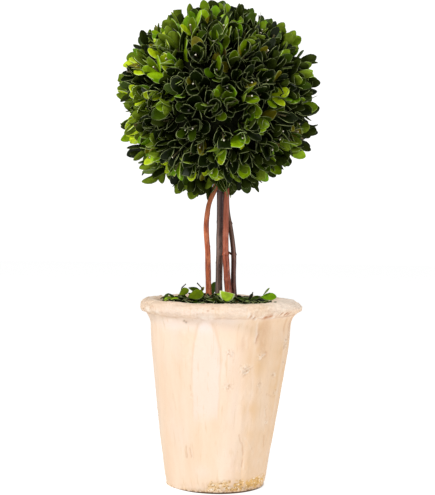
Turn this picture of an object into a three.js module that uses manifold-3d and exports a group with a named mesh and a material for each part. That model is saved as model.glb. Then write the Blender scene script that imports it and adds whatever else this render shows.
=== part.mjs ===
// A clipped box ball on four bare stems, planted in a limewashed clay pot with a rolled rim.
// Millimetres, +Z up, -Y towards the viewer. The origin is the middle of the pot's flat underside.
import * as THREE from "three";
import { mergeVertices } from "three/addons/utils/BufferGeometryUtils.js";
import Module from "manifold-3d";

const wasm = await Module();
wasm.setup();

// Clearance between pieces that rest on each other
const seatGap = 0.3;

// Outer and inner outline of the thrown pot
const pot = {
  height: 190.5,
  footRadius: 50,
  footRound: 4,
  neckRadius: 71.5,
  neckHeight: 164,
  lipRadius: 83.4, // widest line of the rolled rim
  lipHalfWidth: 8.2,
  lipHalfHeight: 6.8,
  lipStart: -0.6, // angle on the rolled rim where the hollow under it ends
  hollow: { out: 1.5, up: 11 }, // bend of that hollow, from the neck
  mouthRadius: 61.5,
  mouthHeight: 183,
  innerFootRadius: 41,
  floor: 13,
  lean: 0.024, // sideways drift of the axis for each millimetre of height
  sides: 44,
};

// Filling inside the pot: level round the stems, falling to the wall
const soil = { levelRadius: 27, levelHeight: 186.5, edgeHeight: 180, wallGap: 0.6 };

// Fallen leaves on the filling
const litter = {
  matThickness: 2.4,
  matRadius: 58,
  matBevel: 1.5,
  leaves: 52,
  leafLength: 17,
  leafWidth: 10.5,
  leafSunk: 0.5, // how deep a leaf's root is pressed into the mat
  leafRoom: 4.6, // from a stem's axis
  reach: 60, // no leaf goes further from the pot's axis
};

// The clipped ball
const ball = {
  centre: new THREE.Vector3(-2.5, 0, 395),
  radius: 106, // no leaf tip passes it
  coreRadius: 83,
  coreDetail: 3,
  sprigs: 76,
  twigLength: 12.5, // beyond the core
  twigSunk: 6,
  twigRadius: 2.4,
  leafLength: 24,
  leafWidth: 15.5,
  shortestLeaf: 11,
  trim: 3, // how unevenly the shears left it
  twigRoom: 5.5, // from a stem's axis
  leafRoom: 4.2,
};

// Height on the twig and angle from the twig of each pair of leaves
const leafPairs = [
  { height: 0.35, spread: 1.2 },
  { height: 0.72, spread: 0.92 },
  { height: 0.98, spread: 0.46 },
];

// Where each stem's axis runs, from the filling up into the ball, and how thick it is at both ends
const stems = [
  {
    name: "stem_left",
    bark: "redBark",
    axis: [[-8.4, -3, 0], [-10.3, -3, 50], [-11.9, -3, 88], [-8.4, -3, 105], [-4.5, -4, 114], [0, -6, 142]],
    footRadius: 2.9,
    topRadius: 2.4,
  },
  {
    name: "stem_middle",
    bark: "greyBark",
    axis: [[1.5, 5, 0], [2.2, 5, 60], [2.1, 5, 110], [2, 5, 146]],
    footRadius: 3.4,
    topRadius: 3,
  },
  {
    name: "stem_right",
    bark: "redBark",
    axis: [[13.2, -6, 0], [10.5, -6, 27], [8.9, -5, 50], [8.3, -4, 70], [8.5, -4, 98], [9.5, -4, 140]],
    footRadius: 3.3,
    topRadius: 2.1,
  },
  {
    name: "stem_bowed",
    bark: "greyBark",
    axis: [[17.8, 2, 0], [17, 2, 27], [16.8, 2, 49], [14.9, 3, 66], [12, 5, 82], [9.6, 6, 96], [12, 7, 140]],
    footRadius: 2.8,
    topRadius: 2.3,
  },
];
const stemSides = 8;
const stemRings = 14;
const rootFlare = { radius: 0.9, height: 8 };

// Cut side shoot, out of one point of a stem's axis
const stub = { stem: "stem_bowed", axisPoint: 2, length: 6.2, radius: 1.1, rise: 0.7, backward: 0.1 };

const colours = {
  clay: { color: "#ecd6c0", roughness: 0.9, metalness: 0 },
  soil: { color: "#33291f", roughness: 1, metalness: 0 },
  litter: { color: "#3a4a17", roughness: 0.6, metalness: 0 },
  foliage: { color: "#3f5416", roughness: 0.5, metalness: 0 },
  redBark: { color: "#a5603f", roughness: 0.7, metalness: 0 },
  greyBark: { color: "#5a4a43", roughness: 0.75, metalness: 0 },
};

// A repeatable number from 0 to 1 for each item and each purpose
function chance(item, purpose) {
  const wave = Math.sin(item * 12.9898 + purpose * 78.233) * 43758.5453;
  return wave - Math.floor(wave);
}

function between(low, high, share) {
  return low + (high - low) * share;
}

// A closed three.js geometry as a solid for joining and cutting
function solidOf(geometry) {
  const bare = geometry.index ? geometry.toNonIndexed() : geometry;
  bare.deleteAttribute("normal");
  bare.deleteAttribute("uv");
  const merged = mergeVertices(bare, 1e-4);
  return new wasm.Manifold(
    new wasm.Mesh({
      numProp: 3,
      vertProperties: new Float32Array(merged.attributes.position.array),
      triVerts: new Uint32Array(merged.index.array),
    }),
  );
}

function geometryOf(solid) {
  const mesh = solid.getMesh();
  const geometry = new THREE.BufferGeometry();
  geometry.setAttribute("position", new THREE.BufferAttribute(mesh.vertProperties, 3));
  geometry.setIndex(new THREE.BufferAttribute(mesh.triVerts, 1));
  geometry.computeVertexNormals();
  return geometry;
}

function largestPiece(solid) {
  return solid.decompose().sort((a, b) => b.volume() - a.volume())[0];
}

function joined(solids) {
  return solids.reduce((whole, next) => whole.add(next));
}

// Turns an outline of radius and height about the pot's leaning axis
function turned(outline) {
  const geometry = new THREE.LatheGeometry(outline, pot.sides);
  geometry.rotateX(Math.PI / 2);
  const lean = new THREE.Matrix4().makeShear(0, 0, 0, 0, pot.lean, 0);
  return geometry.applyMatrix4(lean);
}

function potGeometry() {
  const lipMiddle = {
    radius: pot.lipRadius - pot.lipHalfWidth,
    height: pot.height - pot.lipHalfHeight,
  };
  const outline = new THREE.Path();
  outline.moveTo(0, 0);
  outline.lineTo(pot.footRadius - pot.footRound, 0);
  outline.absarc(pot.footRadius - pot.footRound, pot.footRound, pot.footRound, -Math.PI / 2, 0);
  outline.lineTo(pot.neckRadius, pot.neckHeight);
  outline.quadraticCurveTo(
    pot.neckRadius + pot.hollow.out,
    pot.neckHeight + pot.hollow.up,
    lipMiddle.radius + pot.lipHalfWidth * Math.cos(pot.lipStart),
    lipMiddle.height + pot.lipHalfHeight * Math.sin(pot.lipStart),
  );
  outline.absellipse(
    lipMiddle.radius,
    lipMiddle.height,
    pot.lipHalfWidth,
    pot.lipHalfHeight,
    pot.lipStart,
    Math.PI / 2,
  );
  outline.quadraticCurveTo(pot.mouthRadius, pot.height, pot.mouthRadius, pot.mouthHeight);
  outline.lineTo(pot.innerFootRadius, pot.floor);
  outline.lineTo(0, pot.floor);
  return turned(outline.getPoints(3));
}

// Radius of the pot's inner wall at a height
function innerRadius(height) {
  const share = (height - pot.floor) / (pot.mouthHeight - pot.floor);
  return between(pot.innerFootRadius, pot.mouthRadius, share);
}

// Height of the filling's top at a distance from the pot's axis
function soilTop(radius) {
  const slopeWidth = innerRadius(soil.edgeHeight) - soil.levelRadius;
  const share = Math.max(0, radius - soil.levelRadius) / slopeWidth;
  return between(soil.levelHeight, soil.edgeHeight, share);
}

function soilGeometry() {
  const outline = [
    new THREE.Vector2(0, pot.floor + seatGap),
    new THREE.Vector2(innerRadius(pot.floor) - soil.wallGap, pot.floor + seatGap),
    new THREE.Vector2(innerRadius(soil.edgeHeight) - soil.wallGap, soil.edgeHeight),
    new THREE.Vector2(soil.levelRadius, soil.levelHeight),
    new THREE.Vector2(0, soil.levelHeight),
  ];
  return turned(outline);
}

// A stem: a cylinder whose level slices follow the stem's axis, flared at the foot and cut flat there.
// grow makes it thicker and longer all round, for cutting the clearance it needs.
function stemGeometry(stem, grow = 0) {
  const ground = soil.levelHeight + seatGap;
  const points = stem.axis.map(([x, y, z]) => new THREE.Vector3(x, y, z + ground));
  points[0].z -= grow;
  points.at(-1).z += grow;
  const curve = new THREE.CatmullRomCurve3(points);
  const geometry = new THREE.CylinderGeometry(1, 1, 1, stemSides, stemRings);
  geometry.rotateX(Math.PI / 2);
  const position = geometry.getAttribute("position");
  for (let i = 0; i < position.count; i++) {
    const along = position.getZ(i) + 0.5;
    const middle = curve.getPointAt(along);
    const flare = rootFlare.radius * Math.exp(-(middle.z - ground) / rootFlare.height);
    const radius = between(stem.footRadius, stem.topRadius, along) + flare + grow;
    position.setXYZ(
      i,
      middle.x + position.getX(i) * radius,
      middle.y + position.getY(i) * radius,
      middle.z,
    );
  }
  return geometry;
}

// The side shoot rises from the stem towards its neighbour and is cut off square
function stubSolid(stem) {
  const [x, y, z] = stem.axis[stub.axisPoint];
  const ground = soil.levelHeight + seatGap;
  const direction = new THREE.Vector3(-Math.cos(stub.rise), stub.backward, Math.sin(stub.rise)).normalize();
  const geometry = new THREE.CylinderGeometry(stub.radius * 0.8, stub.radius, stub.length, 6);
  geometry.translate(0, stub.length / 2, 0);
  geometry.applyQuaternion(new THREE.Quaternion().setFromUnitVectors(new THREE.Vector3(0, 1, 0), direction));
  geometry.translate(x, y, z + ground);
  return solidOf(geometry);
}

// A leaf as a thin lens: its root, its tip, the two sides at the widest place, and one vertex on each face.
// frame puts its root just behind the origin, its length along +X and its upper face along +Z.
function leafGeometry(length, width, frame) {
  const sunk = 0.9;
  const widest = length * 0.58;
  const fullest = length * 0.45;
  const cup = width * 0.09;
  const half = Math.max(0.4, length * 0.02);
  const points = [
    [-sunk, 0, 0],
    [widest, -width / 2, cup],
    [length, 0, -cup],
    [widest, width / 2, cup],
    [fullest, 0, half],
    [fullest, 0, -half],
  ];
  const faces = [];
  for (let edge = 0; edge < 4; edge++) {
    const next = (edge + 1) % 4;
    faces.push(edge, next, 4, next, edge, 5);
  }
  const geometry = new THREE.BufferGeometry();
  geometry.setAttribute("position", new THREE.Float32BufferAttribute(points.flat(), 3));
  geometry.setIndex(faces);
  return geometry.applyMatrix4(frame);
}

// Places a leaf: from a root, along a direction, with its upper face turned towards a side
function leafFrame(root, direction, face) {
  const x = direction.clone().normalize();
  const y = new THREE.Vector3().crossVectors(face, x).normalize();
  const z = new THREE.Vector3().crossVectors(x, y);
  return new THREE.Matrix4().makeBasis(x, y, z).setPosition(root);
}

// Two directions square to one another and to an axis
function sidesOf(axis) {
  const guide = Math.abs(axis.z) > 0.9 ? new THREE.Vector3(1, 0, 0) : new THREE.Vector3(0, 0, 1);
  const first = new THREE.Vector3().crossVectors(axis, guide).normalize();
  return [first, new THREE.Vector3().crossVectors(axis, first)];
}

// Points down the middle of every stem, for keeping leaves clear of them
const stemMarks = stems.flatMap((stem) => {
  const ground = soil.levelHeight + seatGap;
  const points = stem.axis.map(([x, y, z]) => new THREE.Vector3(x, y, z + ground));
  return new THREE.CatmullRomCurve3(points).getSpacedPoints(60);
});

function touchesStem(geometry, room) {
  const position = geometry.getAttribute("position");
  const corner = new THREE.Vector3();
  const middle = new THREE.Vector3();
  for (let i = 0; i < position.count; i++) middle.add(corner.fromBufferAttribute(position, i));
  middle.divideScalar(position.count);
  for (let i = 0; i < position.count; i++) {
    corner.fromBufferAttribute(position, i);
    const halfway = corner.clone().lerp(middle, 0.5);
    if (stemMarks.some((mark) => mark.distanceTo(corner) < room || mark.distanceTo(halfway) < room)) {
      return true;
    }
  }
  return false;
}

// One sprig: a three-sided twig out of the core with pairs of leaves, each pair square to the last
function sprigSolids(index) {
  const golden = Math.PI * (3 - Math.sqrt(5));
  const level = 1 - (2 * index + 1) / ball.sprigs;
  const ring = Math.sqrt(1 - level * level);
  const outward = new THREE.Vector3(ring * Math.cos(index * golden), ring * Math.sin(index * golden), level);
  const [sideA, sideB] = sidesOf(outward);
  const axis = outward
    .clone()
    .addScaledVector(sideA, between(-0.14, 0.14, chance(index, 1)))
    .addScaledVector(sideB, between(-0.14, 0.14, chance(index, 2)))
    .normalize();
  const start = ball.centre.clone().addScaledVector(outward, ball.coreRadius - ball.twigSunk);
  const length = ball.twigSunk + ball.twigLength;
  const twig = new THREE.CylinderGeometry(ball.twigRadius * 0.8, ball.twigRadius, length, 3);
  twig.translate(0, length / 2, 0);
  twig.applyQuaternion(new THREE.Quaternion().setFromUnitVectors(new THREE.Vector3(0, 1, 0), axis));
  twig.translate(start.x, start.y, start.z);
  if (touchesStem(twig, ball.twigRoom)) return [];
  const solids = [solidOf(twig)];
  leafPairs.forEach((pair, order) => {
    const turn = index * golden + order * (Math.PI / 2) + between(-0.3, 0.3, chance(index, 3 + order));
    for (const half of [0, Math.PI]) {
      const purpose = 10 + order * 4 + (half > 0 ? 2 : 0);
      const across = sideA
        .clone()
        .multiplyScalar(Math.cos(turn + half))
        .addScaledVector(sideB, Math.sin(turn + half));
      const spread = pair.spread + between(-0.16, 0.16, chance(index, purpose));
      const [ahead, aside] = [Math.cos(spread), Math.sin(spread)];
      const direction = axis.clone().multiplyScalar(ahead).addScaledVector(across, aside);
      const face = axis.clone().multiplyScalar(aside).addScaledVector(across, -ahead);
      const root = start.clone().addScaledVector(axis, ball.twigSunk + pair.height * ball.twigLength);
      const limit = ball.radius - ball.trim * chance(index, purpose + 1);
      const grown = clippedLength(root, direction, ball.leafLength, limit);
      const width = Math.min(ball.leafWidth, grown * 0.66);
      const leaf = leafGeometry(grown, width, leafFrame(root, direction, face));
      if (grown > ball.shortestLeaf && !touchesStem(leaf, ball.leafRoom)) solids.push(solidOf(leaf));
    }
  });
  return solids;
}

// Length a leaf can have before its tip passes the clipped outline
function clippedLength(root, direction, wanted, limit) {
  const offset = root.clone().sub(ball.centre);
  const along = offset.dot(direction);
  const reach = -along + Math.sqrt(along * along - offset.lengthSq() + limit * limit);
  return Math.min(wanted, reach);
}

function ballGeometry() {
  const core = new THREE.IcosahedronGeometry(ball.coreRadius, ball.coreDetail);
  core.translate(ball.centre.x, ball.centre.y, ball.centre.z);
  const solids = [solidOf(core)];
  for (let index = 0; index < ball.sprigs; index++) solids.push(...sprigSolids(index));
  const sockets = stems.map((stem) => solidOf(stemGeometry(stem, seatGap)));
  return geometryOf(largestPiece(joined(solids).subtract(joined(sockets))));
}

// A thin mat over the filling with the leaves lying on it, each root pressed into the mat
function litterGeometry() {
  const low = (radius) => soilTop(radius) + seatGap;
  const high = (radius) => low(radius) + litter.matThickness;
  const { matRadius, matBevel } = litter;
  const outline = [
    new THREE.Vector2(0, low(0)),
    new THREE.Vector2(soil.levelRadius, low(soil.levelRadius)),
    new THREE.Vector2(matRadius, low(matRadius)),
    new THREE.Vector2(matRadius - matBevel, high(matRadius)),
    new THREE.Vector2(soil.levelRadius, high(soil.levelRadius)),
    new THREE.Vector2(0, high(0)),
  ];
  const solids = [solidOf(turned(outline))];
  const golden = Math.PI * (3 - Math.sqrt(5));
  for (let index = 0; index < litter.leaves; index++) {
    const distance = litter.matRadius * 0.93 * Math.sqrt((index + 0.5) / litter.leaves);
    const angle = index * golden;
    const height = high(distance) - litter.leafSunk;
    const root = new THREE.Vector3(distance * Math.cos(angle), distance * Math.sin(angle), height);
    root.x += pot.lean * height;
    const heading = chance(index, 40) * Math.PI * 2;
    const rise = between(0.12, 0.5, chance(index, 41));
    const direction = new THREE.Vector3(
      Math.cos(heading) * Math.cos(rise),
      Math.sin(heading) * Math.cos(rise),
      Math.sin(rise),
    );
    const size = between(0.75, 1.05, chance(index, 42));
    const frame = leafFrame(root, direction, new THREE.Vector3(0, 0, 1));
    const leaf = leafGeometry(litter.leafLength * size, litter.leafWidth * size, frame);
    if (reachOf(leaf) < litter.reach && !touchesStem(leaf, litter.leafRoom)) solids.push(solidOf(leaf));
  }
  const holes = stems.map((stem) => solidOf(stemGeometry(stem, seatGap)));
  return geometryOf(largestPiece(joined(solids).subtract(joined(holes))));
}

// Furthest distance of a geometry's corners from the pot's leaning axis
function reachOf(geometry) {
  const position = geometry.getAttribute("position");
  let reach = 0;
  for (let i = 0; i < position.count; i++) {
    const x = position.getX(i) - pot.lean * position.getZ(i);
    reach = Math.max(reach, Math.hypot(x, position.getY(i)));
  }
  return reach;
}

function piece(name, geometry, look) {
  const mesh = new THREE.Mesh(geometry, new THREE.MeshStandardMaterial(look));
  mesh.name = name;
  return mesh;
}

const topiary = new THREE.Group();
topiary.add(piece("pot", potGeometry(), colours.clay));
topiary.add(piece("soil_fill", soilGeometry(), colours.soil));
topiary.add(piece("leaf_litter", litterGeometry(), colours.litter));
for (const stem of stems) {
  const plain = solidOf(stemGeometry(stem));
  const whole = stem.name === stub.stem ? plain.add(stubSolid(stem)) : plain;
  topiary.add(piece(stem.name, geometryOf(whole), colours[stem.bark]));
}
topiary.add(piece("foliage_ball", ballGeometry(), colours.foliage));

export default topiary;
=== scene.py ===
# A clipped box ball on four bare stems in a limewashed clay pot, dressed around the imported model.
# Lengths in the dictionaries are millimetres unless a note says otherwise, as in the part's source.
from math import pi, radians

import bpy
import numpy as np
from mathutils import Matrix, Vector


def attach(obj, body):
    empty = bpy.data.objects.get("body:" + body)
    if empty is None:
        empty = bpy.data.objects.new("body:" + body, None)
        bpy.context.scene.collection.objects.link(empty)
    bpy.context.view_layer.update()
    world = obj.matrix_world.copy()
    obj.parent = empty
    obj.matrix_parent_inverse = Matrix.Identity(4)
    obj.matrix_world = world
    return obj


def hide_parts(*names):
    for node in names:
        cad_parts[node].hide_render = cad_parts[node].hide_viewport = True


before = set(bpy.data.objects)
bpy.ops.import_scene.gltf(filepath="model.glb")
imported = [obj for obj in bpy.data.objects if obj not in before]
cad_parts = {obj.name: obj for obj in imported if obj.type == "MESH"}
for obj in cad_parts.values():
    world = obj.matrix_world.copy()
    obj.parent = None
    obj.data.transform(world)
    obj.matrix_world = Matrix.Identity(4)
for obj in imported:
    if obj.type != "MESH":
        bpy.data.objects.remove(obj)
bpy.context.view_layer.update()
mm = 0.001
goldenAngle = pi * (3 - 5 ** 0.5)
poleRadius = 0.4  # innermost ring of a surface that is turned round the pot's axis
print("frame:", len(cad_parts), "nodes")


# Repeatable numbers and smooth steps

def chance(item, purpose):
    # fraction left by a tall sine wave of item and purpose, the same rule as the part's source
    wave = np.sin(np.asarray(item, float) * 12.9898 + purpose * 78.233) * 43758.5453
    return wave - np.floor(wave)


def between(low, high, share):
    # low plus a share of the way to high
    return low + (high - low) * share


def jitter(item, purpose, most):
    # evenly spread between -most and most
    return between(-most, most, chance(item, purpose))


def softStep(low, high, value):
    # 3t^2 - 2t^3 of value's share of the way from low to high, held at 0 and 1 outside
    share = np.clip((value - low) / (high - low), 0, 1)
    return share * share * (3 - 2 * share)


def window(value, start, full, last, end):
    # a soft step up from start to full, times one down from last to end
    return softStep(start, full, value) * softStep(end, last, value)


def bell(distance, half):
    # exp(-(distance / half)^2), so 1 in the middle and about a third at half
    return np.exp(-((distance / half) ** 2))


def grain(across, along, cells, seed):
    # smooth noise from -1 to 1: chance at the corners of unit cells, blended by a soft step.
    # across is counted in turns and meets itself after the given number of cells, along in cells
    column = across * cells
    left, low = np.floor(column), np.floor(along)
    shareAcross = softStep(0, 1, column - left)
    shareUp = softStep(0, 1, along - low)

    def corner(stepAcross, stepUp):
        # the number drawn for one corner of a cell
        number = np.mod(left + stepAcross, cells) + (low + stepUp) * 57.31
        return chance(number, seed)

    lower = between(corner(0, 0), corner(1, 0), shareAcross)
    upper = between(corner(0, 1), corner(1, 1), shareAcross)
    return 2 * between(lower, upper, shareUp) - 1


def turnFrom(angle, middle):
    # degrees from middle to angle the short way round, from -180 to 180
    return (angle - middle + 180) % 360 - 180


def unit(vectors):
    # each vector divided by its length
    return vectors / np.linalg.norm(vectors, axis=-1, keepdims=True)


# Meshes from arrays

def gridFaces(rows, columns):
    # one four-sided face between each pair of rows and of columns, the last column meeting the first
    row = np.arange(rows - 1)[:, None]
    column = np.arange(columns)[None, :]
    after = (column + 1) % columns
    low, high = row * columns, (row + 1) * columns
    corners = [low + column, low + after, high + after, high + column]
    return np.stack(np.broadcast_arrays(*corners), axis=-1).reshape(-1, 4)


def putMesh(name, points, faces, looks, faceLooks=None, marks=None, smooth=None):
    # points is n by 3 in millimetres, faces is a list of arrays with a row of point numbers for each face,
    # and marks are named values, one for each point
    mesh = bpy.data.meshes.new(name)
    sizes = np.concatenate([np.full(len(group), group.shape[1]) for group in faces])
    corners = np.concatenate([group.ravel() for group in faces])
    mesh.vertices.add(len(points))
    mesh.vertices.foreach_set("co", (points * mm).astype(np.float32).ravel())
    mesh.loops.add(len(corners))
    mesh.loops.foreach_set("vertex_index", corners.astype(np.int32))
    mesh.polygons.add(len(sizes))
    mesh.polygons.foreach_set("loop_start", (np.cumsum(sizes) - sizes).astype(np.int32))
    mesh.polygons.foreach_set("loop_total", sizes.astype(np.int32))
    mesh.update(calc_edges=True)
    for look in looks:
        mesh.materials.append(look.material)
    if faceLooks is not None:
        mesh.polygons.foreach_set("material_index", faceLooks.astype(np.int32))
    for mark, values in (marks or {}).items():
        layer = mesh.attributes.new(mark, "FLOAT", "POINT")
        layer.data.foreach_set("value", values.astype(np.float32).ravel())
    mesh.polygons.foreach_set("use_smooth", np.ones(len(sizes), bool) if smooth is None else smooth)
    mesh.validate()
    piece = bpy.data.objects.new(name, mesh)
    bpy.context.scene.collection.objects.link(piece)
    return piece


def stands(piece, node):
    # the piece rides on the plant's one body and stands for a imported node
    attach(piece, "root")
    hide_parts(node)
    return piece


# Materials

class Wire:
    # a shader socket: + - * and / on it each add one Math node
    def __init__(self, look, socket):
        self.look = look
        self.socket = socket

    def maths(self, operation, first, second):
        return self.look.node("ShaderNodeMath", {"operation": operation}, {0: first, 1: second})

    def __add__(self, other):
        return self.maths("ADD", self, other)

    def __radd__(self, other):
        return self.maths("ADD", other, self)

    def __sub__(self, other):
        return self.maths("SUBTRACT", self, other)

    def __rsub__(self, other):
        return self.maths("SUBTRACT", other, self)

    def __mul__(self, other):
        return self.maths("MULTIPLY", self, other)

    def __rmul__(self, other):
        return self.maths("MULTIPLY", other, self)

    def __truediv__(self, other):
        return self.maths("DIVIDE", self, other)

    def __rtruediv__(self, other):
        return self.maths("DIVIDE", other, self)


class Look:
    # a material or the world, and the methods that add its nodes
    def __init__(self, name, holder=None, shader="Principled BSDF", **sockets):
        self.material = holder or bpy.data.materials.new(name)
        self.material.use_nodes = True
        self.tree = self.material.node_tree
        self.shader = self.tree.nodes[shader]
        self.place = None
        for socket, value in sockets.items():
            self.shader.inputs[socket.replace("_", " ")].default_value = value

    def node(self, kind, settings=None, inputs=None, output=0):
        # a node of any type, its settings made first, then the values or links of its sockets
        made = self.tree.nodes.new(kind)
        for name, value in (settings or {}).items():
            if name == "stops":
                self.setStops(made.color_ramp, value)
            else:
                setattr(made, name, value)
        for key, value in (inputs or {}).items():
            self.feed(made.inputs[key], value)
        return Wire(self, made.outputs[output])

    def setStops(self, ramp, stops):
        # a new ramp has two stops already, the others are added
        for number, (place, value) in enumerate(stops):
            stop = ramp.elements[number] if number < 2 else ramp.elements.new(place)
            stop.position = place
            stop.color = (value, value, value, 1)

    def feed(self, socket, value):
        # a link from a wire, otherwise a fixed value on the socket itself
        if isinstance(value, Wire):
            self.tree.links.new(value.socket, socket)
        else:
            socket.default_value = value

    def objectPlace(self, stretch=(1, 1, 1), shift=(0, 0, 0)):
        # object coordinates, each axis stretched by a number, then moved by another
        if self.place is None:
            self.place = self.node("ShaderNodeTexCoord", output="Object")
        inputs = {"Vector": self.place, "Scale": stretch, "Location": shift}
        return self.node("ShaderNodeMapping", inputs=inputs)

    def noise(self, scale, detail=3.0, roughness=0.55, stretch=(1, 1, 1)):
        # noise of about 0 to 1, finer for a larger scale and stretched where an axis counts for less
        place = self.objectPlace(stretch)
        inputs = {"Vector": place, "Scale": scale, "Detail": detail, "Roughness": roughness}
        return self.node("ShaderNodeTexNoise", inputs=inputs)

    def mark(self, name):
        # one of the named values that putMesh gives to the points
        return self.node("ShaderNodeAttribute", {"attribute_name": name}, output="Fac")

    def ramp(self, value, *stops):
        # straight lines between the stops, each a place and the value there
        return self.node("ShaderNodeValToRGB", {"stops": stops}, {"Fac": value})

    def mix(self, share, first, second):
        # first colour at share 0, second at share 1
        settings = {"data_type": "RGBA", "clamp_factor": True}
        inputs = {0: share, 6: self.colour(first), 7: self.colour(second)}
        return self.node("ShaderNodeMix", settings, inputs, output=2)

    def colour(self, value):
        # a socket as it is, a colour with its alpha
        return value if isinstance(value, Wire) else (*value, 1)

    def bump(self, height, strength, distance, under=None):
        # relief of height times distance in metres, on top of the one under it
        inputs = {"Height": height, "Strength": strength, "Distance": distance}
        if under is not None:
            inputs["Normal"] = under
        return self.node("ShaderNodeBump", inputs=inputs)

    def paint(self, **sockets):
        # feeds the shader's own sockets, spaces in their names written as _
        for socket, value in sockets.items():
            self.feed(self.shader.inputs[socket.replace("_", " ")], value)
        return self


# Limewashed clay pot

pot = {
    "height": 190.5,
    "footRadius": 51.4,
    "footRound": 0.9,
    "footTuck": 1.0,  # how far the lowest part of the wall draws in
    "tuckHeight": 12,
    "neckRadius": 71.9,
    "neckHeight": 164,
    "lipRadius": 83.4,
    "lipHalfWidth": 8.2,
    "lipHalfHeight": 6.8,
    "lipStart": -0.6,  # radians below level where the hollow under the rim meets it
    "hollowOut": 1.5,
    "hollowUp": 11,
    "mouthRadius": 61.5,
    "mouthHeight": 183,
    "innerFootRadius": 41,
    "floor": 13,
    "lean": 0.024,  # sideways drift of the axis for each millimetre of height
    "columns": 520,
    "belly": 0.95,  # how far the middle of the wall stands out
    "wobble": 0.7,  # how far from round the hand left it
    "strokes": 0.55,  # depth of the upright trowel strokes
    "fine": (0.05, 0.16),  # of the finer ones, on the left and on the right
    "lumps": 1.1,  # unevenness of the rolled rim
    "scabs": 0.42,  # height of the crust on the rim's ends
    "rimSlope": 2.1,  # how far the rim's right end falls away outwards
    "undercut": 0.75,  # how far the wall is pressed in right under the rim
    "drips": 0.9,
    "sand": 0.16,
    "limewashAndPaintedLight": 0.3,  # thickness of the limewash tongues
    "worn": 1.5,  # depth of the rough patches at the foot
    "pits": 0.9,
    "waver": 1.5,  # how far the scratches stray from straight
    "crumbs": 1.1,  # height of the crumbs stuck to the wall
    "insideShare": 0.35,  # how much of the relief the inside has
}

# Unevenness of the clay, in layers of noise: what it runs along, a cell's length that way, cells round the
# pot, seed and strength. Rows are the points of the outline, and a level is the same at every height
clayNoise = {
    "ragged": [("height", 14, 30, 1, 0.6), ("height", 5, 90, 2, 0.4)],
    "strokes": [("height", 70, 26, 3, 1), ("height", 38, 64, 4, 0.6)],
    "fine": [("height", 22, 190, 5, 1)],
    "sand": [("rows", 10 / 9, 300, 6, 0.6), ("rows", 20 / 9, 150, 7, 1), ("rows", 1.7, 170, 25, 1)],
    "lumps": [("rows", 6, 34, 8, 0.5), ("rows", 3.2, 80, 9, 0.35), ("rows", 11, 15, 18, 0.5)],
    "longDrips": [("level", 3.5, 44, 10, 1)],
    "shortDrips": [("rows", 2.2, 110, 11, 0.6)],
    "foot": [("height", 7, 40, 12, 1), ("height", 2.6, 110, 13, 0.6)],
    "wobble": [("height", 120, 5, 14, 0.7), ("height", 60, 11, 15, 0.5)],
    "fineScabs": [("rows", 1.5, 210, 17, 1)],
    "waverUp": [("height", 7, 50, 19, 1)],
    "waverRound": [("height", 6, 60, 20, 1)],
    "strewn": [("height", 24, 14, 23, 1)],
    "crumbs": [("height", 2.6, 150, 24, 1)],
    "seamWithPaintedShade": [("level", 7.5, 37, 26, 1.1), ("level", 0, 95, 27, 0.5)],
    "seamGaps": [("level", 2.5, 47, 28, 0.6)],
    "scabs": [("rows", 2.6, 120, 29, 1)],
}

# Stretches round the pot where a finish or painted light belongs: degrees where it starts, is full, still is
# full and ends
stretches = {
    "deepStrokes": (0, 25, 95, 130),
    "fineStrokes": (30, 40, 90, 115),
    "crustyRim": (12, 26, 76, 96),
    "slopedRim": (38, 78, 115, 150),
    # the rim's right end, painted lighter where its top turns from the key light: painted light
    "paintedLightRim": (28, 50, 105, 130),
    "goldenFoot": (4, 24, 90, 110),
    "wornFront": (-15, -5, 68, 78),
    "wornLeft": (-108, -100, -74, -66),
}

# Arched tongues of thick limewash: angle from the front and half width in degrees, top and foot heights
tongues = [
    {"angle": -11.3, "half": 11.5, "top": 174, "foot": 74},
    {"angle": 108, "half": 10, "top": 168, "foot": 96},
    {"angle": 141, "half": 15, "top": 173, "foot": 62},
    {"angle": -152, "half": 11, "top": 160, "foot": 88},
    {"angle": -96, "half": 12, "top": 171, "foot": 70},
]

# Limewash besides the tongues; the first two, right under the front of the rim, are painted light that takes
# out the rim's shade there: angle, height, half width, half height and strength
palePatches = [
    (-9, 175, 17, 3.5, 0.9),
    (9, 174.5, 12, 3, 0.7),
    (-42, 169, 26, 7, 1.2),
    (-14, 168, 18, 7, 0.9),
    (6, 168, 9, 6, 0.45),
    (-32, 183, 28, 5, 0.9),
    (-14, 183, 16, 5, 0.9),
    (10, 183, 18, 5, 0.6),
    (-39, 155, 9, 17, 0.6),
    (-14, 21, 9, 7, 0.6),
    (14, 90, 5, 16, 0.4),
]

# Creases and scratches: angle and height of both ends, width, and how far they stand out
creases = [
    (27.2, 174, 31.0, 161, 1.2, 0.55),
    (31.0, 161, 29.3, 152, 1.2, 0.5),
    (39.7, 141, 34.0, 135, 1.0, 0.6),
    (36.5, 134, 34.5, 138, 0.8, 0.4),
    (28.0, 128, 25.5, 126, 0.9, 0.3),
    (25.0, 126, 19.5, 121, 1.0, 0.45),
    (24.0, 121, 20.5, 118, 0.8, 0.35),
    (22.0, 158, 21.0, 148, 1.0, 0.2),
    (-31.5, 46, -32.0, 35, 0.8, -0.5),
    (-27.0, 45, -27.2, 36, 0.8, -0.45),
    (22.5, 59, 29.5, 39, 0.9, -0.6),
    (28.0, 57, 36.0, 46, 0.8, 0.6),
    (29.3, 33, 29.0, 26, 0.8, -0.5),
    (54.0, 56, 57.0, 44, 0.8, -0.5),
    (47.0, 86, 52.0, 76, 0.8, 0.6),
    (51.0, 87, 62.0, 76, 0.8, 0.5),
    (48.7, 99, 61.0, 93, 0.8, -0.4),
    (36.5, 108, 41.5, 103, 0.8, 0.4),
    (-25.0, 109, -24.0, 104, 0.8, -0.3),
    (72.0, 170, 69.0, 152, 1.2, 0.4),
]

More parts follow.
